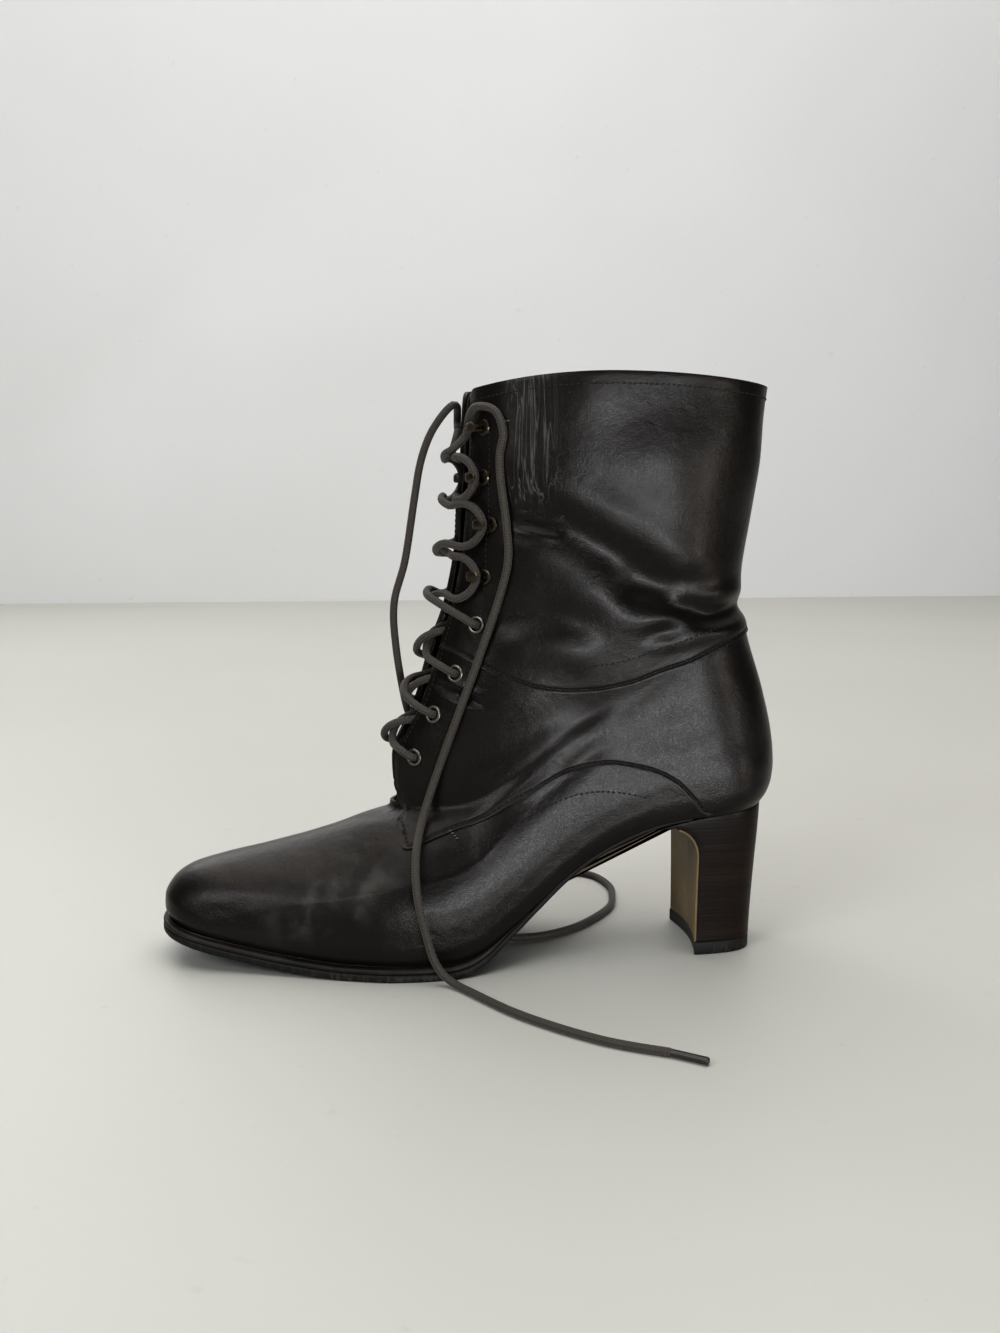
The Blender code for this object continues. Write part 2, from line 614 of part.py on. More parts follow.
def tube(name, points, diameter, look):
    """Round cord along a row of points."""
    curve = bpy.data.curves.new(name, "CURVE")
    curve.dimensions = "3D"
    curve.bevel_depth = diameter / 2 * MM
    curve.bevel_resolution = 2
    curve.use_fill_caps = True
    spline = curve.splines.new("POLY")
    spline.points.add(len(points) - 1)
    for made, point in zip(spline.points, points):
        made.co = (*(point * MM), 1)
    thing = bpy.data.objects.new(name + "_route", curve)
    bpy.context.scene.collection.objects.link(thing)
    bpy.context.view_layer.update()
    seen = thing.evaluated_get(bpy.context.evaluated_depsgraph_get())
    mesh = bpy.data.meshes.new_from_object(seen)
    bpy.data.objects.remove(thing)
    bm = bmesh.new()
    bm.from_mesh(mesh)
    bmesh.ops.remove_doubles(bm, verts=bm.verts, dist=1e-7)
    bmesh.ops.recalc_face_normals(bm, faces=bm.faces)
    bm.to_mesh(mesh)
    bm.free()
    return add(name, mesh, look)


def crossing_turns():
    """Level and offset of each place where the lace turns back, by row and side."""
    rows = []
    turning = [(z, EYELET_TURN) for _, z in EYELETS] + [(z, HOOK_TURN) for _, z in HOOKS]
    for z, reach in turning:
        low, high = THROAT, TOP
        for _ in range(30):
            v = (low + high) / 2
            edge = skin(v, -turn_at(v, levels["gap"](v)))
            if edge.z < z - 0.5:
                low = v
            else:
                high = v
        rows.append((v, levels["gap"](v) + reach))
    return rows


def crossing_route(sides):
    """Points of one strand that zigzags up the throat; sides gives the row and side of each turn."""
    rows = crossing_turns()
    marks = []
    for (row, side), (next_row, next_side) in zip(sides, sides[1:]):
        (v0, y0), (v1, y1) = rows[row], rows[next_row]
        marks += [(mix(v0, v1, t), mix(side * y0, next_side * y1, t)) for t in (0, 0.25, 0.5, 0.75)]
    row, side = sides[-1]
    marks.append((rows[row][0], side * rows[row][1]))
    return [lifted(v, front(v, y), LACE / 2 + LACE_RISE) for v, y in marks]


def lace_crossings():
    first = crossing_route([(0, 1)] + [(i, -1 if i % 2 == 0 else 1) for i in range(8)])
    second = crossing_route([(i, 1 if i % 2 == 0 else -1) for i in range(8)])
    one = tube("lace_crossings", smooth_route(first, CROSSING_SPACING), LACE, CORD)
    two = tube("strand", smooth_route(second, CROSSING_SPACING), LACE, CORD)
    return boolean(one, "UNION", two)


def lace_end(label, route, tip):
    """One free end of the lace down to the floor, with its aglet."""
    points = smooth_route([Vector(point) for point in route], LACE_SPACING)
    tube(f"lace_end_{label}", points, LACE, CORD)
    tip = Vector(tip)
    start = points[-1] + (tip - points[-1]).normalized() * (GAP + 0.1)
    tube(f"aglet_{label}", [start, tip], AGLET_WIDTH, AGLET)


def main():
    for thing in list(bpy.data.objects):
        bpy.data.objects.remove(thing)
    upper()
    tongue()
    insole()
    rand()
    outsole()
    heel()
    breast_cover()
    top_lift()
    for side, label in ((-1, "lateral"), (1, "medial")):
        for i, (x, z) in enumerate(EYELETS):
            eyelet(f"eyelet_{label}_{i + 1}", place(x, z, side))
        for i, (x, z) in enumerate(HOOKS):
            hook(f"hook_{label}_{i + 1}", place(x, z, side))
    lace_crossings()
    lace_end("lateral", LATERAL_END, LATERAL_TIP)
    lace_end("medial", MEDIAL_END, MEDIAL_TIP)


main()
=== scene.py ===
"""A left lace-up ankle boot with a block heel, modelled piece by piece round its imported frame.

Shapes are worked out in millimetres in the boot's own frame: toe towards -X, outer side of the foot towards -Y,
+Z up. A place on the upper is a level, counted up from the sole, and a turn round the foot, counted from the toe.
"""

import functools
import math

import bpy
import numpy as np
from bpy.props import FloatProperty, FloatVectorProperty, PointerProperty
from mathutils import Matrix, Vector


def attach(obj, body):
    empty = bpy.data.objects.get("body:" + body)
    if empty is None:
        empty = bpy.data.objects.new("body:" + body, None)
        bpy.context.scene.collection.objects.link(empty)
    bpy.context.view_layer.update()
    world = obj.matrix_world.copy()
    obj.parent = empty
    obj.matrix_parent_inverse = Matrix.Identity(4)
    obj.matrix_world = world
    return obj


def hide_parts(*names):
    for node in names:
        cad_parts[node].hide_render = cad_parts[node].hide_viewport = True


bl_info = {
    "name": "Lace-up ankle boot",
    "version": (1, 0, 0),
    "blender": (4, 5, 0),
    "location": "View3D > Sidebar > Boot",
    "description": "Models a lace-up ankle boot with a block heel round its packed frame",
    "category": "Add Mesh",
}

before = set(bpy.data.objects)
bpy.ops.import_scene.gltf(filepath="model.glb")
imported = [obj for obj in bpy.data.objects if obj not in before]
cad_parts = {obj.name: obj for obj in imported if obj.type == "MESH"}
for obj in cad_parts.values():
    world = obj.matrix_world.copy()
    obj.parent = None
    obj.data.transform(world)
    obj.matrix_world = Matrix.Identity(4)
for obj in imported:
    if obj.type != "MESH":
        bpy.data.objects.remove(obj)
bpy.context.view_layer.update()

MM = 0.001
CENTRE = np.array((0.88, 0.31, 0.0))  # Way from the boot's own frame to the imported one.
GAP = 0.3  # Play between pieces that lie on each other.

# Sole, from the toe to the back of the heel seat: half width and middle line of the feather edge, height of the
# walking face, thickness of the outsole, height of the rand, and how far the outsole reaches beyond that edge.
SOLE_COLUMNS = ("x", "half", "axis", "bottom", "sole", "rand", "margin")
SOLE_ROWS = (
    (-131.0, 22.4, 3.4, 12.4, 3.0, 2.2, 1.6),
    (-119.0, 23.4, 3.0, 9.8, 3.0, 2.2, 2.2),
    (-107.0, 24.9, 2.8, 7.2, 3.1, 2.2, 2.6),
    (-96.0, 27.2, 2.8, 5.0, 3.1, 2.2, 2.9),
    (-81.0, 30.9, 2.6, 2.5, 3.1, 2.2, 2.9),
    (-64.0, 35.4, 1.9, 0.7, 3.1, 2.2, 2.9),
    (-52.0, 38.0, 1.2, 0.0, 3.1, 2.2, 2.9),
    (-35.0, 40.1, -0.4, 0.0, 3.1, 2.2, 2.9),
    (-13.0, 38.2, -2.0, 0.0, 3.1, 2.2, 2.7),
    (-5.0, 36.6, -2.3, 1.1, 3.1, 2.2, 2.3),
    (1.5, 35.2, -2.3, 3.9, 3.1, 2.1, 1.7),
    (13.0, 32.6, -2.1, 13.1, 3.1, 1.4, 0.4),
    (25.5, 30.4, -1.8, 24.4, 3.0, 0.5, -0.8),
    (38.0, 29.0, -1.5, 35.6, 2.8, 0.0, -1.6),
    (50.0, 28.2, -1.3, 44.0, 2.6, 0.0, -2.0),
    (62.5, 27.8, -1.2, 50.6, 2.4, 0.0, -2.0),
    (73.0, 27.7, -1.2, 54.8, 2.0, 0.0, -1.8),
    (84.0, 27.8, -1.3, 57.9, 1.4, 0.0, -1.4),
    (95.0, 28.0, -1.3, 60.0, 0.7, 0.0, -1.0),
    (110.0, 28.0, -1.2, 62.0, 0.5, 0.0, -1.0),
    (125.0, 28.0, -1.0, 63.4, 0.5, 0.0, -1.0),
)

# Upper, one row for each level from the feather edge to the collar: the two ends of the level's loop in side view
# with the length and squareness of their rounding, how closely it follows the sole, how far the sole's outline has
# turned into the shaft's oval, what the foot bulges, half the shaft's width, half the throat, how far the inner
# flap stands ahead of the outer one, and the rise at mid side.
LEVEL_COLUMNS = ("front_x", "front_z", "front_cap", "front_pow", "back_x", "back_z", "back_cap", "back_pow",
                 "sag", "share", "spread", "half", "gap", "lead", "crown")
LEVEL_ROWS = (
    (-128.0, 18.2, 25, 2.5, 122.4, 64.0, 25, 2.4, 1.0, 0.0, 0.0, 31, 6.0, 0, 0),
    (-129.4, 21.6, 26, 2.5, 125.2, 68.2, 26, 2.4, 1.0, 0.0, 1.2, 31, 6.0, 0, 0),
    (-129.0, 26.2, 29, 2.4, 127.2, 73.4, 27, 2.3, 1.0, 0.0, 1.8, 31, 6.0, 0, 0),
    (-125.8, 31.8, 36, 2.3, 128.0, 79.4, 28, 2.2, 1.0, 0.0, 1.8, 31, 6.0, 0, 0),
    (-119.2, 36.8, 46, 2.2, 127.6, 86.0, 29, 2.2, 1.0, 0.0, 1.4, 31, 6.0, 0, 0),
    (-106.5, 41.0, 60, 2.1, 126.6, 92.8, 30, 2.2, 1.0, 0.02, 0.7, 31, 6.0, 0, 0),
    (-89.0, 45.0, 80, 2.0, 125.0, 100.4, 31, 2.2, 1.0, 0.06, 0.0, 31, 6.0, 0, 0),
    (-69.5, 50.0, 100, 1.9, 122.8, 109.0, 32, 2.2, 0.97, 0.14, -0.8, 31, 6.0, 0, 0),
    (-50.5, 56.2, 112, 1.8, 120.2, 119.0, 34, 2.2, 0.90, 0.27, -1.4, 31, 6.0, 0, 0),
    (-34.6, 63.0, 112, 1.8, 117.2, 129.6, 36, 2.2, 0.80, 0.42, -1.6, 31, 6.5, 0.5, 0),
    (-34.0, 82.0, 104, 1.85, 114.2, 139.4, 39, 2.2, 0.60, 0.64, -1.6, 31, 8.5, 2.0, 0),
    (-23.6, 111.0, 88, 2.0, 112.0, 147.4, 42, 2.2, 0.36, 0.86, -1.6, 31, 12.0, 4.0, 0),
    (-11.4, 147.0, 72, 2.1, 113.2, 159.0, 46, 2.2, 0.16, 1.0, 0.0, 31.5, 12.0, 4.5, 0.5),
    (-5.4, 178.0, 64, 2.2, 116.2, 180.6, 50, 2.2, 0.05, 1.0, 0.0, 32.5, 9.5, 4.0, 2.0),
    (-3.2, 206.0, 60, 2.2, 119.2, 208.0, 52, 2.2, 0.0, 1.0, 0.0, 33.5, 7.0, 3.0, 3.5),
    (-2.0, 233.0, 58, 2.2, 122.2, 234.4, 54, 2.2, 0.0, 1.0, 0.0, 34.0, 5.5, 2.0, 5.0),
)
TOP = len(LEVEL_ROWS) - 1
THROAT = 9
CROWN_FRONT, CROWN_FALL = 5.2, 2.4  # Shape of the rise at mid side.
LEVEL_RUN, TURN_RUN = 7.0, 45.0  # Rough way of one level and of one radian on the leather.

# Levels and turns of the panels' corners, how many levels the quarters go on under the shaft, how far the flaps'
# rims reach into the throat, and depth, place and width of the groove that a row of stitches draws in.
THROAT_FOOT = 9.4
QUARTER_TOP = 11.5
SEAM_BACK = 9.62
SEAM_FOOT = (0.0, 2.47)
COLLAR_CORNER = 14.8
FLAP_STITCH_TOP = 14.78
SIDE_TURN = 1.2  # From here on back the quarters' top edge takes the turns of their bottom edge.
UNDERLAP = 0.34
RIM_REACH, RIM_LEVELS = 4.0, (9.0, 10.2, 12.4, 14.0)
GROOVE_DEPTH, GROOVE_AWAY, GROOVE_WIDTH = 0.42, 1.65, 0.55

# Lines of the upper in side view, as x and z.
FLAP_FOOT = ((-31.9, 58.9), (-31.2, 56.2), (-30.2, 51.4))
LOWER_SEAM = ((-29.0, 50.6), (-25.1, 51.1), (-21.0, 52.9), (-6.1, 58.5), (10.3, 66.0), (24.4, 73.6), (35.8, 79.4),
              (45.6, 82.3), (53.3, 83.0), (62.7, 81.6), (72.5, 79.0), (80.3, 74.8), (87.0, 68.0), (92.9, 61.7))
VAMP_ROW = ((-9.3, 51.0), (0.7, 53.8), (11.5, 58.0), (19.3, 62.4), (29.2, 67.6), (38.6, 71.2), (48.4, 72.6),
            (58.2, 72.0), (68.5, 69.7))
UPPER_SEAM = ((-7.7, 126.5), (-0.4, 123.1), (8.9, 118.7), (19.9, 114.9), (30.2, 112.9), (41.5, 112.4), (53.2, 113.6),
              (67.3, 117.3), (81.9, 122.4), (96.7, 128.6), (107.1, 132.8))
SHAFT_ROW = ((17.5, 124.5), (29.3, 123.2), (43.2, 123.2), (55.7, 125.2), (66.9, 128.2), (79.5, 132.4), (91.3, 136.3),
             (99.2, 139.1))

# Creases of the leather: foot side (-1 outer, 1 inner, 0 both), depth, width, share of the ridges beside the
# trough, and the line in side view. A depth below 0 is a ridge.
CREASE_ROWS = (
    (0, 2.5, 7.5, 0.35, ((4.0, 191.0), (18.0, 185.5), (32.0, 179.5), (50.0, 170.0), (70.0, 159.5), (88.0, 152.0))),
    (-1, 1.2, 1.6, 0.6, ((13.0, 181.4), (19.0, 180.2), (25.0, 179.0), (36.0, 176.8))),
    (0, 2.6, 7.5, 0.25, ((48.0, 156.0), (64.0, 154.5), (80.0, 153.0), (100.0, 150.5))),
    (0, 2.1, 3.6, 0.55, ((72.0, 147.0), (86.0, 145.6), (98.0, 144.8), (118.0, 147.5))),
    (0, 1.1, 3.2, 0.5, ((60.0, 134.0), (78.0, 138.2), (94.0, 140.6), (118.0, 143.0))),
    (-1, 1.4, 1.7, 0.5, ((-18.0, 116.0), (-10.0, 112.4), (-4.0, 110.0), (6.0, 107.0))),
    (0, 1.0, 5.5, 0.4, ((0.0, 140.0), (14.0, 143.0), (30.0, 143.5), (56.0, 137.0))),
    (0, -1.0, 7.5, 0.2, ((6.0, 132.0), (20.0, 131.0), (34.0, 129.0), (52.0, 125.0))),
    (0, 0.5, 6.0, 0.3, ((-78.0, 40.0), (-62.0, 44.0), (-46.0, 47.0), (-26.0, 48.0))),
    (0, 0.35, 4.0, 0.4, ((-62.0, 34.0), (-50.0, 39.0), (-40.0, 42.0), (-24.0, 43.0))),
    (0, -0.8, 18.0, 0.0, ((-6.0, 206.0), (24.0, 205.0), (62.0, 204.0), (112.0, 204.0))),
    (0, -1.7, 6.5, 0.0, ((-10.0, 60.0), (2.4, 71.0), (17.4, 83.0), (32.4, 95.0), (46.0, 107.0))),
    (0, 1.5, 5.5, 0.0, ((0.0, 51.0), (11.3, 60.9), (26.3, 72.9), (41.3, 84.9), (56.0, 97.0))),
    (0, 2.2, 8.0, 0.0, ((-150.0, 12.0), (-112.0, 23.5), (-95.0, 28.0), (-65.0, 34.0), (-35.0, 39.5), (-15.0, 44.5),
                        (5.0, 53.5), (30.0, 66.0))),
    (1, 0.8, 2.5, 0.5, ((-16.0, 114.0), (-2.0, 107.0), (16.0, 103.0))),
)

# Soft waves of the ankle's leather: their rates along x, y and z, phase and height.
WAVE_ROWS = ((0.11, 0.05, 0.07, 0.3, 0.30), (-0.06, 0.08, 0.13, 1.9, 0.26), (0.19, -0.1, -0.09, 4.0, 0.13),
             (0.05, 0.13, -0.21, 2.4, 0.11))

# Rubbed places of the outer side, painted lighter, on the vamp also as painted highlight: x, z, size and strength.
RUB_AND_HIGHLIGHT_SPOTS = (
    (-66, 28, 12, 1.0), (-52, 34, 10, 0.9), (-44, 42, 9, 0.6), (-33, 40, 9, 0.4), (-77, 24, 9, 0.5),
    (34, 158, 14, 0.35), (26, 127, 9, 0.45), (70, 185, 16, 0.3), (0, 183, 7, 0.5), (2, 165, 8, 0.6), (-4, 150, 7, 0.5),
    (16, 215, 12, 0.35), (45, 110, 18, 0.2), (110, 92, 10, 0.35), (-20, 60, 9, 0.5), (62, 190, 9, 0.4),
)

# Where the shaft has fine upright cracks, along x and up, with soft ends.
CRACK_X, CRACK_Z = (9, 15, 26, 36), (182, 192, 237, 241)

# Eyelets and hooks of one side, from the bottom up, by where their middles lie in side view.
EYELETS = ((-25.2, 84.5), (-18.2, 102.5), (-9.4, 119.5), (-0.9, 139.5))
HOOKS = ((0.6, 158.7), (3.4, 179.5), (1.8, 198.0), (2.0, 217.5))

# How the lace lies under the lowest eyelets, enters the others from behind, leaves them and goes round a hook:
# towards the throat, up and outwards of their middles.
BAR_EDGE = (6.0, 1.5, -4.2)
EYELET_FOOT = ((6.0, 1.5, -4.0), (2.2, 0.3, -3.6))
EYELET_ENTRY = (1.8, -0.8, -3.7)
EYELET_EXIT = ((0.0, 0.0, -1.8), (0.1, 0.1, 0.6), (1.7, 1.2, 2.4), (4.6, 3.0, 2.9))
HOOK_LOOP = ((11.0, -8.6, 3.2), (6.8, -8.0, 3.2), (3.0, -5.8, 3.2), (0.5, -2.6, 3.1), (-0.3, 0.0, 3.1),
             (0.5, 2.6, 3.1), (3.0, 5.8, 3.2), (6.8, 8.0, 3.2), (11.0, 8.6, 3.2))

# How the lace crosses the throat to the next row, where it dives under the flap or stays over it: share of the way
# up, place across in half gaps, how far past the edge, height, and share of the strand's rise over the other one.
UNDER_FLAP = ((0.28, 0.70, 0, 2.9, 0.5), (0.42, 0.25, 0, 3.4, 1.0), (0.60, -0.10, 0, 3.1, 1.0),
              (0.76, -0.45, 0, 1.5, 0.6), (0.88, -0.84, 0, -1.5, 0.0), (0.95, -1.0, -3.0, -3.7, 0.0))
OVER_FLAP = ((0.40, 0.70, 0, 5.0, 1.0), (0.50, 0.0, 0, 6.4, 0.9), (0.60, -0.65, 0, 5.0, 1.0))
STRAND_RISE = 1.5
BAR_DEPTH = 4.6
LAST_SHARE, LAST_ACROSS, LAST_HEIGHT = 0.85, 6.0, 2.2  # Where a strand passes before the top hook.

# Free ends of the lace, from the top hooks to the floor, and the tips of their aglets.
LATERAL_END = (
    (-2.0, -9.4, 217.4), (-1.4, -12.2, 222.2), (1.2, -17.8, 225.8), (7.8, -23.4, 223.8), (10.8, -25.4, 215.5),
    (9.6, -24.3, 207.0), (9.9, -24.4, 197.1), (11.9, -25.5, 181.5), (12.7, -25.9, 165.8), (9.0, -24.6, 149.8),
    (1.0, -22.9, 125.8), (-7.1, -22.1, 103.4), (-15.3, -20.6, 80.3), (-21.3, -23.4, 62.8), (-24.9, -36.8, 50.4),
    (-24.8, -44.8, 36.0), (-21.7, -45.6, 21.0), (-17.5, -47.6, 8.5), (-9.5, -52.6, 1.9), (11.5, -81.9, 1.7),
    (37.2, -106.1, 1.7), (60.0, -118.8, 1.7),
)
LATERAL_TIP = (71.0, -126.6, 1.7)
MEDIAL_END = (
    (-4.6, 9.6, 217.8), (-4.6, 13.0, 220.8), (-4.6, 12.0, 224.4), (-5.0, 8.6, 227.2), (-7.2, 6.2, 227.6),
    (-11.7, 7.0, 222.9), (-16.6, 9.0, 214.9), (-20.3, 11.0, 203.9), (-22.9, 12.0, 189.0), (-26.9, 13.0, 164.0),
    (-31.7, 14.0, 145.7), (-31.1, 14.5, 126.9), (-27.5, 15.2, 103.9), (-23.8, 17.0, 92.0), (-19.6, 18.6, 79.9),
    (-10.9, 22.4, 66.3), (-2.5, 31.8, 55.3), (6.3, 36.2, 44.2), (13.0, 37.0, 34.0), (20.0, 40.0, 19.0),
    (26.0, 50.0, 6.5), (34.0, 67.0, 1.9), (46.0, 83.0, 1.7), (58.0, 90.5, 1.7), (67.5, 84.0, 1.7),
    (72.0, 68.0, 1.7), (70.9, 53.5, 1.7), (65.6, 34.8, 1.7), (49.0, 13.0, 1.7), (31.8, 1.8, 1.7), (17.0, -0.5, 1.7),
)
MEDIAL_TIP = (3.5, 0.2, 1.7)

# Rounding of a cord's ends and of an aglet's: way in from the tip and share of the radius.
CORD_ENDS = ((0.0, 0.0), (0.1, 0.55), (0.35, 0.86), (0.8, 1.0))
AGLET_ENDS = ((0.0, 0.0), (0.05, 0.78), (0.2, 0.92), (0.5, 1.0))
AGLET_RADIUS = 1.36
AGLET_LAP = 1.2

# Heel block, from the top lift up to the seat.
HEEL_BASE_FRONT = 92.4
HEEL_BASE_BACK = 118.6
HEEL_BASE_HALF = 22.6
HEEL_SEAT_FRONT = 74.0
HEEL_SEAT_BACK = 122.0
HEEL_SEAT_HALF = 26.4
HEEL_AXIS = -1.6
HEEL_SQUARE = 3.4
HEEL_TAPER = 0.07
HEEL_CORNER = 0.30 * math.pi
BREAST_HOLLOW = 2.6
BREAST_BEND = 0.68
LIFT = 5.5
COVER = 1.0

# Stations where outsole and rand end, points of a ring round the sole, and how deep the tongue lies under the skin.
OUTSOLE_END = 90.0
RAND_END = 22.0
SOLE_POINTS = 420
TONGUE_DEPTH = 4.4

# Bar tacks of one side: where they begin in side view, their direction, and the way from thread to thread.
TACKS = ((8.5, 219.5, 1.0, 0.12), (-11.0, 57.5, 0.75, -0.66))
TACK_PITCH = 1.1

# Camera and frame of the picture.
PICTURE = (1000, 1333)
FOCUS_PIXELS = 1280.0
EYE = (-38.0, -528.41, 194.0)
EYE_YAW = 5.5
HORIZON = 488.0
SENSOR = 36.0  # In millimetres.

# Room, and its lights by place, aim, width and height, power and colour.
ROOM = 8.0
WALL_AWAY = 1.7
SKY_COLOUR, SKY_STRENGTH = (0.95, 0.97, 1.0, 1), 0.05
LIGHTS = {
    "ceiling": ((0.0, 0.2, 2.3), (0, 0.2, 0.0), (3.0, 3.0), 66.0, (1.0, 0.985, 0.96)),
    "low_window": ((0.33, -1.25, 0.06), (0.05, 0, 0.11), (0.66, 0.12), 8.8, (0.88, 0.94, 1.0)),
    "left_window": ((-0.95, -0.95, 0.85), (-0.05, 0, 0.05), (0.7, 0.5), 8.0, (0.92, 0.96, 1.0)),
    "right_window": ((1.08, -0.85, 0.13), (0.1, 0, 0.1), (0.24, 0.16), 2.0, (1.0, 0.97, 0.93)),
    "back_window": ((-0.7, 1.3, 0.9), (0, 0, 0.12), (0.6, 0.6), 2.5, (0.95, 0.97, 1.0)),
}


def size_property(name, description, default):
    return FloatProperty(name=name, description=description, default=default, unit="LENGTH")


def colour_property(name, description, default):
    return FloatVectorProperty(name=name, description=description, default=default, subtype="COLOR")


class BootSizes(bpy.types.PropertyGroup):
    """Sizes of the boot that a maker would choose."""

    panel: size_property("Panel thickness", "Thickness of the outer leather", 0.0015)
    lining: size_property("Lining thickness", "Thickness of the lining", 0.0008)
    step: size_property("Seam step", "How far an upper panel stands over the one below it", 0.0007)
    tongue: size_property("Tongue thickness", "Thickness of the tongue", 0.0016)
    lace: size_property("Lace diameter", "Diameter of the round lace", 0.0032)
    stitch_pitch: size_property("Stitch pitch", "From one stitch to the next", 0.0022)
    stitch_width: size_property("Stitch width", "Thickness of the sewing thread", 0.0007)
    eyelet: size_property("Eyelet flange", "Outer diameter of an eyelet", 0.0074)
    eyelet_bore: size_property("Eyelet bore", "Inner diameter of an eyelet", 0.0044)
    hook_base: size_property("Hook base", "Diameter of a hook's round base", 0.0066)
    heel_layer: size_property("Heel layer", "Thickness of one layer of the stacked heel", 0.0034)


class BootColours(bpy.types.PropertyGroup):
    """Colours of the boot's materials."""

    leather: colour_property("Leather", "Outer leather", (0.0050, 0.0038, 0.0032))
    # Lighter colour of rubbed places, on the vamp also standing in for a painted highlight.
    rubbed_and_highlight: colour_property("Rubbed leather", "Leather where it is rubbed", (0.055, 0.051, 0.047))
    lining: colour_property("Lining", "Lining leather", (0.035, 0.024, 0.018))
    insole: colour_property("Insole", "Insole cover", (0.10, 0.070, 0.046))
    sole: colour_property("Sole", "Outsole and top lift", (0.0065, 0.006, 0.0055))
    heel: colour_property("Heel", "Stacked heel", (0.0080, 0.0040, 0.0026))
    breast: colour_property("Heel breast", "Leather on the front of the heel", (0.135, 0.095, 0.045))
    brass: colour_property("Hook brass", "Lace hooks", (0.085, 0.066, 0.045))
    rim: colour_property("Eyelet brass", "Eyelets", (0.20, 0.183, 0.160))
    lace: colour_property("Lace", "Round lace", (0.036, 0.0275, 0.020))
    thread: colour_property("Thread", "Sewing thread", (0.003, 0.0026, 0.0024))
    tack: colour_property("Bar tack", "Pale bar tacks", (0.075, 0.067, 0.058))
    floor: colour_property("Floor", "Floor", (0.48, 0.475, 0.44))
    wall: colour_property("Wall", "Wall", (0.80, 0.80, 0.80))


def mix(a, b, t):
    return a + (b - a) * t


def smooth(low, high, x):
    t = np.clip((x - low) / (high - low), 0, 1)
    return t * t * (3 - 2 * t)


def within(x, start, full, fall, end):
    """1 from full to fall, with soft ends down to 0 at start and end."""
    return smooth(start, full, x) * (1 - smooth(fall, end, x))


def unit(a):
    return a / np.maximum(np.linalg.norm(a, axis=-1, keepdims=True), 1e-12)


def column(xs, ys):
    """A smooth curve through one column of a table that never swings past its rows."""
    xs, ys = np.asarray(xs, float), np.asarray(ys, float)
    step = np.diff(xs)
    rate = np.diff(ys) / step
    before, after = rate[:-1], rate[1:]
    heavy, light = 2 * step[1:] + step[:-1], step[1:] + 2 * step[:-1]
    turning = before * after <= 0
    safe_before, safe_after = np.where(turning, 1, before), np.where(turning, 1, after)
    inner = np.where(turning, 0, (heavy + light) / (heavy / safe_before + light / safe_after))
    slope = np.concatenate([rate[:1], inner, rate[-1:]])

    def value(x):
        x = np.clip(x, xs[0], xs[-1])
        i = np.clip(np.searchsorted(xs, x, side="right") - 1, 0, len(step) - 1)
        t = (x - xs[i]) / step[i]
        a = ys[i] + t * step[i] * slope[i] * (1 - t) ** 2 + (ys[i + 1] - ys[i]) * t * t * (3 - 2 * t)
        return a + t * t * (t - 1) * step[i] * slope[i + 1]

    return value


sole = {
    name: column([row[0] for row in SOLE_ROWS], [row[i] for row in SOLE_ROWS])
    for i, name in enumerate(SOLE_COLUMNS)
}
levels = {
    name: column(range(TOP + 1), [row[i] for row in LEVEL_ROWS]) for i, name in enumerate(LEVEL_COLUMNS)
}


def feather(x):
    return sole["bottom"](x) + sole["sole"](x) + sole["rand"](x) + GAP


def cap(reach, length, power):
    """Share of the full width at some reach from the rounded end of a loop."""
    rest = 1 - np.clip(reach / length, 0, 1)
    return (1 - rest**power) ** (1 / power)


def skin(v, turn):
    """Points of the upper's even outer face; turn is below 0 on the outer side of the foot."""
    v, turn = np.broadcast_arrays(np.asarray(v, float), np.asarray(turn, float))
    turn = (turn + math.pi) % (2 * math.pi) - math.pi
    row = {name: curve(v) for name, curve in levels.items()}
    share = (1 - np.cos(turn)) / 2
    x = mix(row["front_x"], row["back_x"], share)
    half = mix(sole["half"](x) + row["spread"], row["half"], row["share"])
    half = half * cap(x - row["front_x"], row["front_cap"], row["front_pow"])
    half = half * cap(row["back_x"] - x, row["back_cap"], row["back_pow"])
    side = np.copysign(half, turn)
    chord = mix(feather(row["front_x"]), feather(row["back_x"]), share)
    z = mix(row["front_z"], row["back_z"], share) + row["sag"] * (feather(x) - chord)
    z = z + row["crown"] * share * (1 - share) * (CROWN_FRONT - CROWN_FALL * share)
    lead = np.clip(side / row["gap"], -1, 1) * row["lead"] / 2 * (1 - share) ** 2
    return np.stack([x - lead, sole["axis"](x) * (1 - row["share"]) + side, z], axis=-1)


def normals(v, turn):
    """Outward unit normals of the even outer face."""
    v = np.asarray(v, float)
    along = skin(v, turn + 0.02) - skin(v, turn - 0.02)
    rise = skin(np.minimum(v + 0.02, TOP), turn) - skin(np.maximum(v - 0.02, 0), turn)
    return unit(np.cross(rise, along))


def bisect(test, low, high, steps=40):
    """Where a test turns from true to false, for each entry of the arrays low and high."""
    for _ in range(steps):
        middle = (low + high) / 2
        below = test(middle)
        low, high = np.where(below, middle, low), np.where(below, high, middle)
    return (low + high) / 2


def width_turn(v, width):
    """How far round each level its half width first reaches a value."""
    v, width = np.broadcast_arrays(np.asarray(v, float), np.asarray(width, float))

    def narrower(turn):
        point = skin(v, turn)
        return point[..., 1] - sole["axis"](point[..., 0]) * (1 - levels["share"](v)) < width

    return bisect(narrower, np.zeros(v.shape), np.full(v.shape, math.pi / 2))


def half_throat(v):
    """Half the opening between the flaps, whose thin leather rims reach further in than the solid's edges."""
    return levels["gap"](v) - RIM_REACH * within(v, *RIM_LEVELS)


def edge_turn(v):
    """Turn of the flaps' front edges at each level."""
    return width_turn(v, half_throat(v))


def turn_of(v, x):
    front, back = levels["front_x"](v), levels["back_x"](v)
    return np.arccos(1 - 2 * np.clip((x - front) / (back - front), 0, 1))


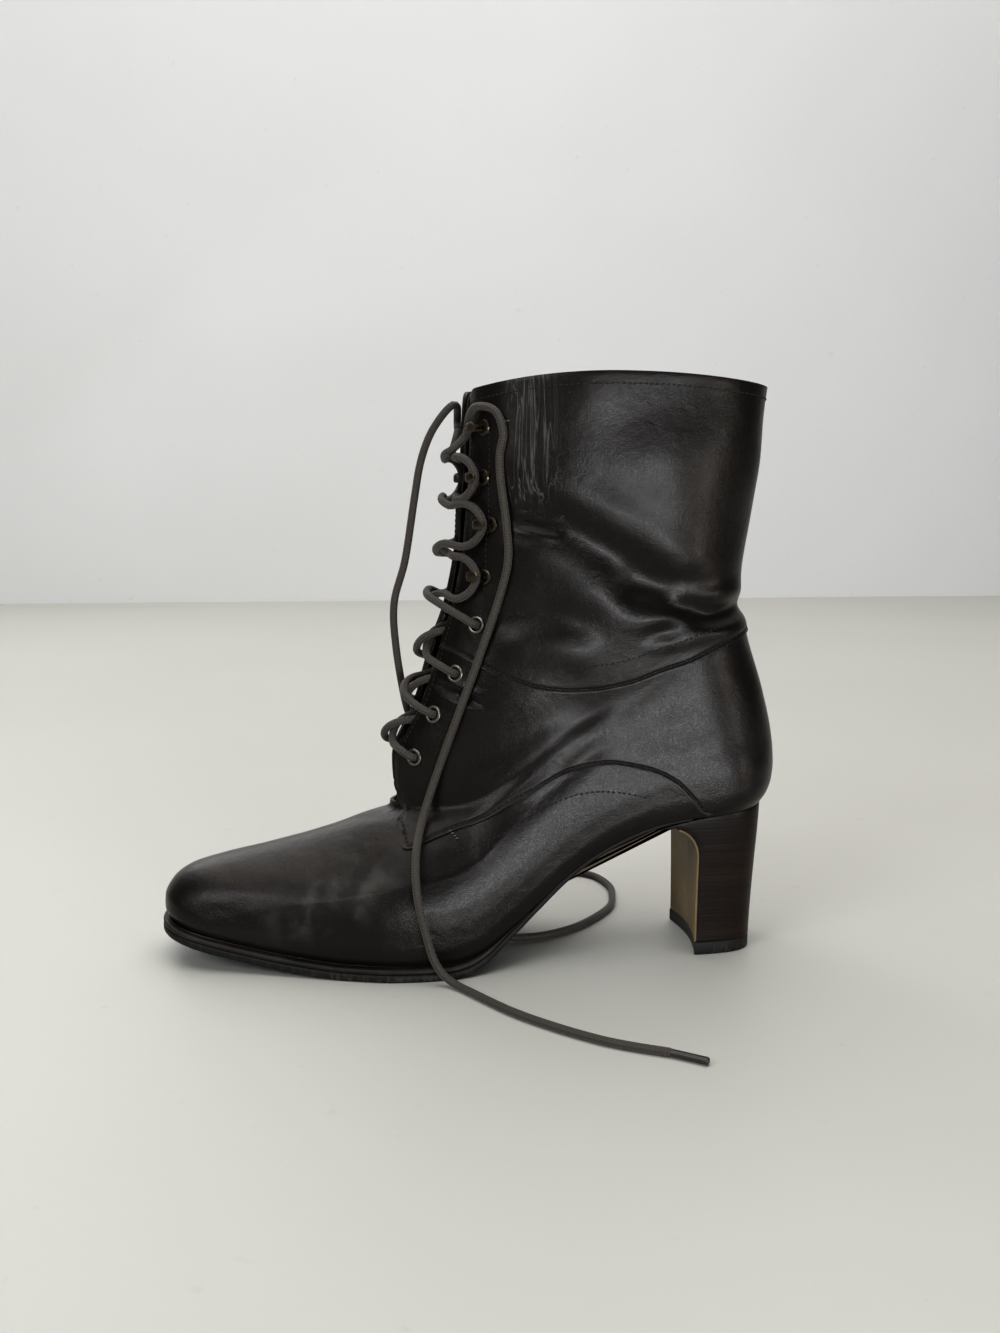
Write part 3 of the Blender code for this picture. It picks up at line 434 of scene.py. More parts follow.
def on_side(line):
    """Level and turn of points given by x and z in side view."""
    x, z = np.asarray(line, float).T
    v = bisect(lambda v: skin(v, -turn_of(v, x))[..., 2] < z, np.zeros(len(x)), np.full(len(x), float(TOP)))
    return np.stack([v, turn_of(v, x)], axis=-1)


def run_length(points):
    return np.concatenate([[0], np.cumsum(np.linalg.norm(np.diff(points, axis=0), axis=1))])


def drawn(marks, count):
    """A smooth line of levels and turns through some marks, evenly spaced on the leather."""
    marks = np.asarray(marks, float)
    chord = run_length(marks * (LEVEL_RUN, TURN_RUN))
    fine = np.linspace(0, chord[-1], 800)
    line = np.stack([column(chord, marks[:, 0])(fine), column(chord, marks[:, 1])(fine)], axis=-1)
    length = run_length(skin(line[:, 0], -line[:, 1]))
    at = np.linspace(0, length[-1], count)
    return np.stack([np.interp(at, length, line[:, k]) for k in (0, 1)], axis=-1)


def edge_marks(low, high, count=12):
    v = np.linspace(low, high, count)
    return np.stack([v, edge_turn(v)], axis=-1)


lower_seam = on_side(LOWER_SEAM)
flap_foot = on_side(FLAP_FOOT)
quarter_edge = np.concatenate([edge_marks(THROAT_FOOT, THROAT_FOOT, 1), flap_foot, lower_seam, [SEAM_FOOT]])
upper_seam = np.concatenate([edge_marks(QUARTER_TOP, QUARTER_TOP, 1), on_side(UPPER_SEAM), [(SEAM_BACK, math.pi)]])
lower_level = column(quarter_edge[:, 1], quarter_edge[:, 0])
upper_level = column(upper_seam[:, 1], upper_seam[:, 0])


def reach_to(points, turn, marks):
    """How far each point is from a line on its own side of the foot."""
    line = drawn(marks, 360)
    far = np.empty(points.shape[:-1])
    for side in (-1, 1):
        mine = turn <= 0 if side < 0 else turn > 0
        there = skin(line[:, 0], side * line[:, 1])
        here = points[mine]
        best = [np.linalg.norm(part[:, None] - there[None], axis=-1).min(axis=1)
                for part in np.array_split(here, max(1, len(here) // 2000))]
        far[mine] = np.concatenate(best) if len(here) else 0
    return far


def along_line(x, z, line):
    """Distance from a line in side view, and how far along it, from 0 to 1."""
    line = np.asarray(line, float)
    length = run_length(line)
    best, where = np.full(x.shape, np.inf), np.zeros(x.shape)
    for (ax, az), (bx, bz), start, end in zip(line, line[1:], length, length[1:]):
        dx, dz = bx - ax, bz - az
        t = np.clip(((x - ax) * dx + (z - az) * dz) / (dx * dx + dz * dz), 0, 1)
        d = np.hypot(x - ax - t * dx, z - az - t * dz)
        nearer = d < best
        where = np.where(nearer, mix(start, end, t) / length[-1], where)
        best = np.where(nearer, d, best)
    return best, where


def relief(points, turn):
    """Height of the creases and of the soft unevenness of the leather."""
    x, y, z = np.moveaxis(points, -1, 0)
    height = np.zeros(x.shape)
    for side, depth, width, ridge, line in CREASE_ROWS:
        d, where = along_line(x, z, smooth_path(line, 3.0))
        hollow = np.exp(-((d / width) ** 2)) - ridge * np.exp(-(((d - 1.9 * width) / width) ** 2))
        fade = smooth(0.0, 0.3, where) * smooth(1.0, 0.7, where)
        here = np.ones(x.shape) if side == 0 else smooth(-0.02, 0.02, turn * side)
        height -= depth * hollow * fade * here
    for fx, fy, fz, phase, size in WAVE_ROWS:
        height += size * np.sin(fx * x + fy * y + fz * z + phase) * smooth(62, 105, z)
    return height


def groove(far):
    """Depth to which a row of stitches draws in the leather beside a seam."""
    return GROOVE_DEPTH * np.exp(-(((far - GROOVE_AWAY) / GROOVE_WIDTH) ** 2))


def panel_height(panel, points, v, turn, step):
    """How far a panel stands off the even outer face, without its creases."""
    around = np.abs(turn)
    if panel == "vamp":
        return -1.0 * smooth(0.02, 0.35, v - lower_level(np.maximum(around, 0.32)))
    if panel == "quarter":
        far = reach_to(points, turn, quarter_edge)
        lap = step * np.exp(-far / 10.0) - groove(far)
        return 0.15 + lap - 1.2 * smooth(0.0, 0.3, v - upper_level(around))
    far = reach_to(points, turn, upper_seam)
    return 0.2 + (step + 0.15) * np.exp(-far / 9.0) - groove(far)


def surface(panel, v, turn, step=1.0):
    """Points of a panel's outer face, and its normals before creasing."""
    v, turn = np.broadcast_arrays(np.asarray(v, float), np.asarray(turn, float))
    points, outward = skin(v, turn), normals(v, turn)
    height = panel_height(panel, points, v, turn, step) + relief(points, turn)
    return points + outward * height[..., None], outward


def panel_at(v, turn):
    return "shaft" if v > upper_level(abs(turn)) else "quarter"


def patch(bottom, top, left, right):
    """Levels and turns inside four lines that meet at their ends, with its rows closer towards the bottom."""
    c = np.linspace(0, 1, len(bottom))[None, :, None]
    even = np.linspace(0, 1, len(left))
    near = 0.25 * even + 0.75 * even**1.7
    left, right = (np.stack([np.interp(near, even, line[:, k]) for k in (0, 1)], axis=-1) for line in (left, right))
    r = near[:, None, None]
    ends = [(1 - r) * bottom[k] + r * top[k] for k in (0, -1)]
    bow = (1 - c) ** 3 * (left[:, None] - ends[0]) + c**3 * (right[:, None] - ends[1])
    return (1 - r) * bottom[None] + r * top[None] + bow


def both_sides(grid):
    """Levels and turns of the outer side from front to back, then of the inner side back to the front."""
    v, turn = grid[..., 0], grid[..., 1]
    return np.concatenate([v, v[:, -2::-1]], axis=1), np.concatenate([-turn, turn[:, -2::-1]], axis=1)


class Wire:
    """A socket's output, so that shader sums can be written as Python."""

    def __init__(self, finish, socket):
        self.finish = finish
        self.socket = socket

    def reckon(self, operation, *values):
        return self.finish.node("ShaderNodeMath", {"operation": operation}, dict(enumerate(values)))["Value"]

    def ahead(self, operation, *others):
        return self.reckon(operation, self, *others)

    def behind(self, operation, other):
        return self.reckon(operation, other, self)

    __add__ = functools.partialmethod(ahead, "ADD")
    __radd__ = functools.partialmethod(behind, "ADD")
    __sub__ = functools.partialmethod(ahead, "SUBTRACT")
    __rsub__ = functools.partialmethod(behind, "SUBTRACT")
    __mul__ = functools.partialmethod(ahead, "MULTIPLY")
    __rmul__ = functools.partialmethod(behind, "MULTIPLY")
    __pow__ = functools.partialmethod(ahead, "POWER")
    __abs__ = functools.partialmethod(ahead, "ABSOLUTE")
    sine = functools.partialmethod(ahead, "SINE")

    def ramp(self, low, high):
        """0 at low and 1 at high, with soft ends."""
        return self.finish.node("ShaderNodeMapRange", {"interpolation_type": "SMOOTHSTEP"},
                                {"Value": self, "From Min": low, "From Max": high})["Result"]


class Finish:
    """A material in the making."""

    def __init__(self, name):
        self.material = bpy.data.materials.new(name)
        self.material.use_nodes = True
        self.tree = self.material.node_tree
        self.shader = self.tree.nodes["Principled BSDF"]

    def node(self, kind, settings=None, values=None):
        """Add a node, set it up, fill its sockets by name or number, and return its outputs by name."""
        made = self.tree.nodes.new(kind)
        for name, value in (settings or {}).items():
            setattr(made, name, value)
        for name, value in (values or {}).items():
            sockets = made.inputs
            self.fill(sockets[name] if isinstance(name, int) else
                      next(s for s in sockets if s.name == name and s.enabled), value)
        return {s.name: Wire(self, s) for s in made.outputs if s.enabled}

    def fill(self, socket, value):
        if isinstance(value, Wire):
            self.tree.links.new(value.socket, socket)
        elif isinstance(value, (tuple, list)) and socket.type == "RGBA":
            socket.default_value = (*value[:3], 1)
        else:
            socket.default_value = value

    def set(self, **sockets):
        for name, value in sockets.items():
            self.fill(self.shader.inputs[name.replace("_", " ").title().replace("Ior", "IOR")], value)
        return self.material

    def place(self, scale=(1, 1, 1)):
        """Object coordinates, stretched if need be."""
        place = self.node("ShaderNodeTexCoord")["Object"]
        if scale == (1, 1, 1):
            return place
        return self.node("ShaderNodeVectorMath", {"operation": "MULTIPLY"}, {0: place, 1: scale})["Vector"]

    def noise(self, place, scale, detail=3.0, distortion=0.0):
        return self.node("ShaderNodeTexNoise", None, {"Vector": place, "Scale": scale, "Detail": detail,
                                                      "Distortion": distortion})["Fac"]

    def mark(self, name):
        """A value painted on the piece's points."""
        return self.node("ShaderNodeAttribute", {"attribute_name": name})["Fac"]

    def blend(self, a, b, share):
        return self.node("ShaderNodeMix", {"data_type": "RGBA"}, {"Factor": share, "A": a, "B": b})["Result"]

    def bump(self, height, distance, strength=1.0, below=None):
        values = {"Height": height, "Distance": distance, "Strength": strength}
        if below is not None:
            values["Normal"] = below
        return self.node("ShaderNodeBump", None, values)["Normal"]


def tone(colour, factor):
    return tuple(min(c * factor, 1.0) for c in colour[:3])


def leather(finish, colour, rubbed_and_highlight, rough=0.31):
    """Smooth dark leather: pores, clouded dye, rubbed places (partly painted highlight) and fine upright cracks."""
    place = finish.place()
    cloud = finish.noise(place, 24.0, 4.0, 0.4)
    patch_noise = finish.noise(place, 95.0, 4.0, 0.2)
    fine = finish.noise(place, 900.0, 3.0)
    cells = finish.node("ShaderNodeTexVoronoi", {"feature": "DISTANCE_TO_EDGE"},
                        {"Vector": place, "Scale": 1500.0})["Distance"]
    pores = cells.ramp(0.0, 0.35)
    rub_and_highlight = finish.mark("rub_and_highlight")
    crack = finish.mark("crack")
    streak = finish.noise(finish.place((1, 1, 0.06)), 380.0, 4.0, 0.8)
    line = (1 - abs(streak * 2 - 1)) ** 12 * crack
    # Rubbed places are painted lighter: real wear, and on the vamp a painted highlight as well.
    wear_and_highlight = (rub_and_highlight * patch_noise.ramp(0.32, 0.80) + line * 0.6).ramp(0.0, 1.0)
    dye = finish.blend(tone(colour, 0.72), tone(colour, 1.5), cloud.ramp(0.3, 0.75))
    base = finish.blend(dye, tuple(rubbed_and_highlight), wear_and_highlight * 0.65)
    base = finish.blend(base, tone(rubbed_and_highlight, 2.4), line.ramp(0.35, 1.0) * 0.35)
    roughness = rough + 0.05 * patch_noise + 0.14 * rub_and_highlight + 0.06 * wear_and_highlight - 0.05 * cloud
    height = pores * 0.35 + fine * 0.5 + line * 0.9
    swell = finish.bump(finish.noise(place, 60.0, 3.0, 0.3), 0.0011, 0.35)
    swell = finish.bump(finish.noise(place, 230.0, 4.0, 0.3), 0.0005, 0.35, swell)
    return finish.set(base_color=base, roughness=roughness, specular_ior_level=0.22, specular_tint=(1.0, 0.93, 0.88),
                      coat_weight=0.04, coat_roughness=0.22, normal=finish.bump(height, 0.00016, 0.55, swell))


def lining_leather(finish, colour):
    place = finish.place()
    cloud = finish.noise(place, 40.0, 4.0)
    nap = finish.noise(place, 1300.0, 2.0)
    base = finish.blend(tone(colour, 0.7), tone(colour, 1.35), cloud)
    return finish.set(base_color=base, roughness=0.66 + 0.14 * cloud, normal=finish.bump(nap, 0.0002, 0.5))


def braid(finish, colour):
    """Round plaited cord; the map runs once round the cord and in centimetres along it."""
    run = finish.node("ShaderNodeSeparateXYZ", None, {0: finish.node("ShaderNodeUVMap", {"uv_map": "UVMap"})["UV"]})
    around, along = run["X"], run["Y"]
    turn = 2 * math.pi
    left = (around * (turn * 4) + along * (turn * 4.4)).sine()
    right = (around * (turn * 4) - along * (turn * 4.4)).sine()
    plait = (left * right).ramp(-0.7, 0.9)
    place = finish.place()
    fuzz = finish.noise(place, 1700.0, 2.0)
    cloud = finish.noise(place, 70.0, 4.0)
    # The plait's hollows are painted darker and its raised strands lighter, as painted shade; the cloud is tone that
    # differs at random.
    base = finish.blend(tone(colour, 0.52), tone(colour, 1.3), plait * 0.55 + cloud * 0.5)
    return finish.set(base_color=base, roughness=0.58 + 0.2 * cloud, sheen_weight=0.12, sheen_roughness=0.5,
                      normal=finish.bump(plait + fuzz * 0.5, 0.00022, 0.8))


def antique_brass(finish, colour):
    place = finish.place()
    cloud = finish.noise(place, 420.0, 4.0, 0.5)
    tarnish = cloud.ramp(0.42, 0.66)
    scratch = finish.noise(finish.place((1, 1, 0.2)), 2600.0, 2.0)
    base = finish.blend(tuple(colour), tone(colour, 0.22), tarnish * 0.85)
    return finish.set(base_color=base, metallic=1.0 - 0.35 * tarnish, roughness=0.30 + 0.25 * tarnish,
                      normal=finish.bump(scratch + cloud, 0.00006, 0.5))


def stacked(finish, colour, layer):
    """Edge of a stacked heel: thin level layers with a polished stain."""
    place = finish.place()
    height = finish.node("ShaderNodeSeparateXYZ", None, {0: place})["Z"]
    waver = finish.noise(place, 55.0, 2.0)
    grain = finish.noise(finish.place((0.12, 0.12, 1)), 1500.0, 4.0, 0.3)
    lines = ((height + waver * 0.0007) * (2 * math.pi / layer)).sine()
    joint = lines.ramp(0.80, 1.0)
    band = finish.noise(finish.place((0.02, 0.02, 1)), 260.0, 1.0)
    base = finish.blend(tone(colour, 0.7), tone(colour, 1.9), band.ramp(0.35, 0.7) * 0.55 + grain * 0.4)
    base = finish.blend(base, tone(colour, 0.35), joint * 0.6)
    return finish.set(base_color=base, roughness=0.34 + 0.16 * grain, coat_weight=0.03, coat_roughness=0.2,
                      specular_ior_level=0.14, normal=finish.bump(grain * 0.6 - joint * 0.5, 0.0001, 0.5))


def rubber(finish, colour):
    place = finish.place()
    cloud = finish.noise(place, 60.0, 5.0, 0.3)
    scuff = finish.noise(finish.place((1, 1, 0.3)), 700.0, 4.0, 0.6)
    wear_and_highlight = finish.mark("rub_and_highlight") * scuff.ramp(0.45, 0.7)
    base = finish.blend(tone(colour, 0.8), tone(colour, 1.6), cloud)
    base = finish.blend(base, (0.10, 0.09, 0.08), wear_and_highlight * 0.3)
    return finish.set(base_color=base, roughness=0.42 + 0.2 * scuff, specular_ior_level=0.18,
                      normal=finish.bump(scuff, 0.00015, 0.4))


def plain_plastic(finish, colour):
    place = finish.place()
    cloud = finish.noise(place, 500.0, 4.0)
    return finish.set(base_color=finish.blend(tone(colour, 0.6), tone(colour, 1.2), cloud),
                      roughness=0.3 + 0.15 * cloud, normal=finish.bump(cloud, 0.00008, 0.4))


def ground(finish, colour, rough, scale):
    """Pale painted surface with faint stains."""
    place = finish.place()
    stain = finish.noise(place, scale, 5.0, 0.3)
    dust = finish.noise(place, scale * 40, 3.0)
    base = finish.blend(tone(colour, 0.93), tone(colour, 1.05), stain)
    base = finish.blend(base, tone(colour, 0.80), dust.ramp(0.66, 0.78) * 0.35)
    return finish.set(base_color=base, roughness=rough, normal=finish.bump(dust, 0.0003, 0.2))


finishes = {}


def finish_of(name, maker, *values):
    """Make each finish once."""
    if name not in finishes:
        finishes[name] = maker(Finish(name), *values)
    return finishes[name]


def chosen(context):
    """Sizes and colours that the panel shows."""
    return context.scene.boot_sizes, context.scene.boot_colours


def fresh(thing, name):
    thing.name = name
    thing.data.name = name
    return thing


def choose(*things):
    """Select some pieces and make the first one active."""
    bpy.ops.object.select_all(action="DESELECT")
    for thing in things:
        thing.select_set(True)
    bpy.context.view_layer.objects.active = things[0]


def vectors(rows, name):
    """One vector of each vertex or face of a mesh."""
    flat = np.empty(len(rows) * 3)
    rows.foreach_get(name, flat)
    return flat.reshape(-1, 3)


def grid_piece(name, points, merge=False):
    """A grid whose rows of points lie where the given ones do, in millimetres."""
    rows, cols = points.shape[:2]
    bpy.ops.object.select_all(action="DESELECT")
    bpy.ops.mesh.primitive_grid_add(x_subdivisions=cols - 1, y_subdivisions=rows - 1, size=1)
    thing = fresh(bpy.context.object, name)
    thing.data.vertices.foreach_set("co", ((points.reshape(-1, 3) + CENTRE) * MM).ravel())
    thing.data.update()
    if merge:
        in_edit(thing, lambda: bpy.ops.mesh.remove_doubles(threshold=1e-6))
    return thing


def in_edit(thing, *steps):
    """Run edit-mode operators on the whole of one piece."""
    choose(thing)
    bpy.ops.object.mode_set(mode="EDIT")
    bpy.ops.mesh.select_all(action="SELECT")
    for step in steps:
        step()
    bpy.ops.object.mode_set(mode="OBJECT")


def face_out(thing):
    """Turn the faces of a closed piece outwards."""
    in_edit(thing, lambda: bpy.ops.mesh.normals_make_consistent(inside=False))


def modified(thing, kind, **settings):
    """Add one modifier and apply it."""
    choose(thing)
    bpy.ops.object.modifier_add(type=kind)
    modifier = thing.modifiers[-1]
    for name, value in settings.items():
        setattr(modifier, name, value)
    bpy.ops.object.modifier_apply(modifier=modifier.name)
    return thing


def thicken(thing, thickness, bevel=0.00035):
    """Give a sheet its thickness inwards, and soften its rim."""
    modified(thing, "SOLIDIFY", thickness=thickness, offset=-1.0, use_even_offset=False)
    return modified(thing, "BEVEL", width=bevel, segments=2, limit_method="ANGLE", angle_limit=math.radians(55))


def paint(thing, name, values):
    """Keep one value for each point of a piece."""
    layer = thing.data.attributes.new(name, "FLOAT", "POINT")
    layer.data.foreach_set("value", np.ascontiguousarray(values, dtype=np.float32).ravel())


def complete(thing, look, nodes, angle=40):
    """Smooth a piece, dress it, and let it stand for its nodes on the boot's one body."""
    choose(thing)
    bpy.ops.object.shade_smooth_by_angle(angle=math.radians(angle))
    thing.data.materials.clear()
    thing.data.materials.append(look)
    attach(thing, "root")
    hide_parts(*nodes)
    return thing


def points_of(thing):
    return vectors(thing.data.vertices, "co") / MM - CENTRE


def spots(points, table):
    """Soft round marks at places given by x, z, size and strength, on the outer side."""
    x, y, z = points.T
    total = np.zeros(len(points))
    for sx, sz, size, strength in table:
        total += strength * np.exp(-((x - sx) ** 2 + (z - sz) ** 2) / size**2) * (y < 0)
    return total


def wear_marks(thing, rims):
    """Paint where the leather is rubbed, partly as painted highlight, and where it has fine upright cracks."""
    points = points_of(thing)
    x, y, z = points.T
    turn = np.where(y < 0, -1.0, 1.0)
    # Rubbed places, partly a painted highlight on the vamp, and lighter rubbed rims.
    rub_and_highlight = spots(points, RUB_AND_HIGHLIGHT_SPOTS) + 0.08
    for marks, width, strength in rims:
        rub_and_highlight += strength * np.exp(-((reach_to(points, turn, marks) / width) ** 2))
    paint(thing, "rub_and_highlight", np.clip(rub_and_highlight, 0, 1))
    paint(thing, "crack", within(x, *CRACK_X) * within(z, *CRACK_Z) * (0.35 + 0.65 * (y < 0)))


def dress(context, thing, rims=(), node="upper"):
    """Paint a piece of outer leather's wear and painted highlight, and complete it; rims are lines with width and
    strength.
    """
    wear_marks(thing, rims)
    colours = context.scene.boot_colours
    complete(thing, finish_of("dark_leather", leather, colours.leather, colours.rubbed_and_highlight), [node])


def pierced(thing, places, radius=2.5):
    """Take out the faces where the eyelets go through."""
    middles = np.array([seat(row, side)[0] for row in places for side in (-1, 1)])
    choose(thing)
    faces = thing.data.polygons
    centre = vectors(faces, "center") / MM - CENTRE
    near = np.linalg.norm(centre[:, None] - middles[None], axis=-1).min(axis=1) < radius
    bpy.ops.object.mode_set(mode="EDIT")
    bpy.ops.mesh.select_mode(type="FACE")
    bpy.ops.mesh.select_all(action="DESELECT")
    bpy.ops.object.mode_set(mode="OBJECT")
    faces.foreach_set("select", near)
    bpy.ops.object.mode_set(mode="EDIT")
    bpy.ops.mesh.delete(type="FACE")
    bpy.ops.mesh.select_mode(type="VERT")
    bpy.ops.object.mode_set(mode="OBJECT")


@functools.lru_cache(maxsize=None)
def seat(row, side):
    """Middle of an eyelet or hook on the leather, with its axes: towards the throat, up and outwards."""
    v, turn = on_side([(EYELETS + HOOKS)[row]])[0]
    points, outward = surface(panel_at(v, turn), np.array([v]), np.array([side * turn]))
    point, normal = points[0], outward[0]
    forward = np.array((-1.0, 0, 0))
    forward = unit(forward - normal * forward.dot(normal))
    return point, forward, np.cross(normal, forward) * side, normal


def from_seat(row, side, u, w, n):
    """A point given towards the throat, up and outwards of an eyelet or hook."""
    point, forward, up, normal = seat(row, side)
    return point + forward * u + up * w + normal * n


class BOOT_OT_vamp(bpy.types.Operator):
    """Vamp over the toes and along the waist"""

    bl_idname = "boot.vamp"
    bl_label = "Vamp"

    def execute(self, context):
        sizes = context.scene.boot_sizes
        dense = np.linspace(0, 2.56, 600)
        length = run_length(skin(2.5, -dense))
        turn = np.interp(np.linspace(0, length[-1], 161), length, dense)
        turn = np.concatenate([turn[::-1], -turn[1:]])
        share = np.linspace(0, 1, 105)[:, None]
        around = np.abs(turn)
        top = np.where(around < 0.3, THROAT + 0.1, np.minimum(lower_level(around) + 0.42, THROAT + 0.3))
        v = share * top[None]
        points, _ = surface("vamp", v, np.broadcast_to(turn[None], v.shape), sizes.step / MM)
        vamp = thicken(grid_piece("vamp", points), sizes.panel)
        dress(context, vamp)
        return {"FINISHED"}


class BOOT_OT_quarters(bpy.types.Operator):
    """Quarters with the lower lacing flaps, round the heel"""

    bl_idname = "boot.quarters"
    bl_label = "Quarters"

    def execute(self, context):
        sizes = context.scene.boot_sizes
        corner = quarter_edge[3:4] + (-0.03, 0.006)
        flap = edge_marks(THROAT_FOOT, QUARTER_TOP + UNDERLAP)
        left = drawn(np.concatenate([corner, flap_foot[::-1][1:], flap]), 96)
        bottom = drawn(np.concatenate([corner, lower_seam, [SEAM_FOOT, (0.0, math.pi)]]), 165)
        around = bottom[:, 1]
        spread = mix(left[-1, 1], SIDE_TURN, (around - around[0]) / (SIDE_TURN - around[0]))
        around = np.where(around < SIDE_TURN, spread, around)
        top = np.stack([upper_level(around) + UNDERLAP, around], axis=-1)
        top[0] = left[-1]
        right = drawn([(0.0, math.pi), (SEAM_BACK / 2, math.pi), (SEAM_BACK + UNDERLAP, math.pi)], 96)
        v, turn = both_sides(patch(bottom, top, left, right))
        points, _ = surface("quarter", v, turn, sizes.step / MM)
        quarters = grid_piece("quarters", points)
        pierced(quarters, (0, 1, 2))
        thicken(quarters, sizes.panel)
        dress(context, quarters, ((quarter_edge, 1.2, 0.3), (edge_marks(THROAT_FOOT, QUARTER_TOP), 1.4, 0.6)))
        return {"FINISHED"}


class BOOT_OT_shaft(bpy.types.Operator):
    """Shaft with the upper lacing flaps"""

    bl_idname = "boot.shaft"
    bl_label = "Shaft"

    def execute(self, context):
        sizes = context.scene.boot_sizes
        edge = float(edge_turn(COLLAR_CORNER))
        flap = edge_marks(QUARTER_TOP, COLLAR_CORNER)
        left = drawn(flap, 110)
        corner = [(COLLAR_CORNER, edge), (14.90, edge + 0.012), (14.965, edge + 0.045), (TOP, edge + 0.115)]
        top = drawn(np.concatenate([corner, [(TOP, t) for t in np.linspace(edge + 0.3, math.pi, 10)]]), 165)
        bottom = drawn(upper_seam, 165)
        right = drawn([(SEAM_BACK, math.pi), (12.0, math.pi), (TOP, math.pi)], 110)
        v, turn = both_sides(patch(bottom, top, left, right))
        points, _ = surface("shaft", v, turn, sizes.step / MM)
        shaft = grid_piece("shaft", points)
        pierced(shaft, (3,))
        thicken(shaft, sizes.panel)
        collar = np.stack([np.full(12, float(TOP)), np.linspace(edge, math.pi, 12)], axis=-1)
        dress(context, shaft, ((upper_seam, 1.2, 0.3), (flap, 1.4, 0.6), (collar, 1.0, 0.25)))
        return {"FINISHED"}


class BOOT_OT_lining(bpy.types.Operator):
    """Lining of the whole upper"""

    bl_idname = "boot.lining"
    bl_label = "Lining"

    def execute(self, context):
        sizes, colours = chosen(context)
        v = np.concatenate([np.linspace(0.1, THROAT, 30), np.linspace(THROAT + 0.1, TOP - 0.02, 60)])
        share = np.linspace(0, 1, 70)
        start = np.where(v > THROAT, edge_turn(v) + 0.012, 0.0)
        start = start + 0.12 * smooth(COLLAR_CORNER, TOP, v)
        turn = start[:, None] + (math.pi - start[:, None]) * share[None]
        level = np.broadcast_to(v[:, None], turn.shape)
        level, turn = both_sides(np.stack([level, turn], axis=-1))
        points, outward = skin(level, turn), normals(level, turn)
        depth = sizes.panel / MM - 0.25
        points = points + outward * (relief(points, turn) - depth)[..., None]
        lining = thicken(grid_piece("lining", points, True), sizes.lining, 0.0002)
        complete(lining, finish_of("lining_leather", lining_leather, colours.lining), ["upper"])
        return {"FINISHED"}


class BOOT_OT_lasting_margin(bpy.types.Operator):
    """Edge of the upper, turned in under the insole"""

    bl_idname = "boot.lasting_margin"
    bl_label = "Lasting margin"

    def execute(self, context):
        corners = ((-0.25, -0.27), (-0.1, 0.05), (-0.5, 0.5), (-6.0, 0.5), (-6.0, -0.27), (-0.25, -0.27))
        rows = [sole_ring(inset, lambda x, rise=rise: feather(x) + rise, 320) for inset, rise in corners]
        margin = grid_piece("lasting_margin", np.stack(rows), True)
        face_out(margin)
        dress(context, margin)
        return {"FINISHED"}


class BOOT_OT_tongue(bpy.types.Operator):
    """Tongue behind the lacing"""

    bl_idname = "boot.tongue"
    bl_label = "Tongue"

    def execute(self, context):
        sizes = context.scene.boot_sizes
        v = np.linspace(THROAT - 0.9, TOP - 0.12, 110)
        reach = levels["gap"](v) + mix(4.5, 11.0, np.linspace(0, 1, 110))
        share = np.linspace(-1, 1, 45)
        width = np.abs(share)[None] * reach[:, None]
        level = np.broadcast_to(v[:, None], width.shape)
        turn = width_turn(level, width) * -np.sign(share)[None]
        points, outward = skin(level, turn), normals(level, turn)
        wave = 0.35 * np.sin(points[..., 2] * 0.21 + points[..., 1] * 0.1) + 0.2 * np.sin(points[..., 2] * 0.53)
        points = points - outward * (TONGUE_DEPTH - wave)[..., None]
        tongue = thicken(grid_piece("tongue_leather", points), sizes.tongue, 0.0004)
        dress(context, tongue, (), "tongue")
        return {"FINISHED"}


def sole_ring(margin, height, count=260, end=None):
    """The feather edge from heel round toe to heel, moved out and set to a height, and cut off behind a station."""
    dense = np.linspace(-math.pi, math.pi, 1600)
    length = run_length(skin(0.0, dense))
    turn = np.interp(np.linspace(0, length[-1], count), length, dense)
    points = skin(0.0, turn)
    ahead = np.roll(points, -1, axis=0) - np.roll(points, 1, axis=0)
    ahead[0] = ahead[-1] = points[1] - points[-2]
    normal = unit(np.stack([-ahead[:, 1], ahead[:, 0], np.zeros(count)], axis=-1))
    station = points[:, 0]
    out = margin(station) if callable(margin) else np.full(count, float(margin))
    points = points + normal * out[:, None]
    if end is not None:
        points = points[station < end]
    points[:, 2] = height(points[:, 0])
    return points


def to_middle(points, share):
    """A ring drawn in sideways towards the middle line of the sole."""
    moved = points.copy()
    moved[:, 1] = mix(points[:, 1], sole["axis"](points[:, 0]), share)
    return moved


def ring_solid(name, rings):
    """A closed solid from rings that run from the bottom up."""
    rows = np.stack(rings)
    thing = grid_piece(name, np.concatenate([rows, rows[:, :1]], axis=1), True)
    in_edit(thing, lambda: bpy.ops.mesh.fill_holes(sides=0),
            lambda: bpy.ops.mesh.normals_make_consistent(inside=False))
    return thing


class BOOT_OT_insole(bpy.types.Operator):
    """Insole inside the upper"""

    bl_idname = "boot.insole"
    bl_label = "Insole"

    def execute(self, context):
        colours = context.scene.boot_colours

        def low(x):
            return sole["bottom"](x) + sole["sole"](x) + 2 * GAP

        def high(x):
            return feather(x) + 2.0

        base, edge = sole_ring(-3.7, low), sole_ring(-3.7, lambda x: high(x) - 0.7)
        top = sole_ring(-4.5, high)
        rings = [to_middle(base, s) for s in (1.0, 0.7, 0.35, 0.0)] + [edge]
        rings += [to_middle(top, s) for s in (0.0, 0.2, 0.4, 0.6, 0.8, 1.0)]
        insole = ring_solid("insole_cover", rings)
        complete(insole, finish_of("insole_leather", lining_leather, colours.insole), ["insole"])
        return {"FINISHED"}


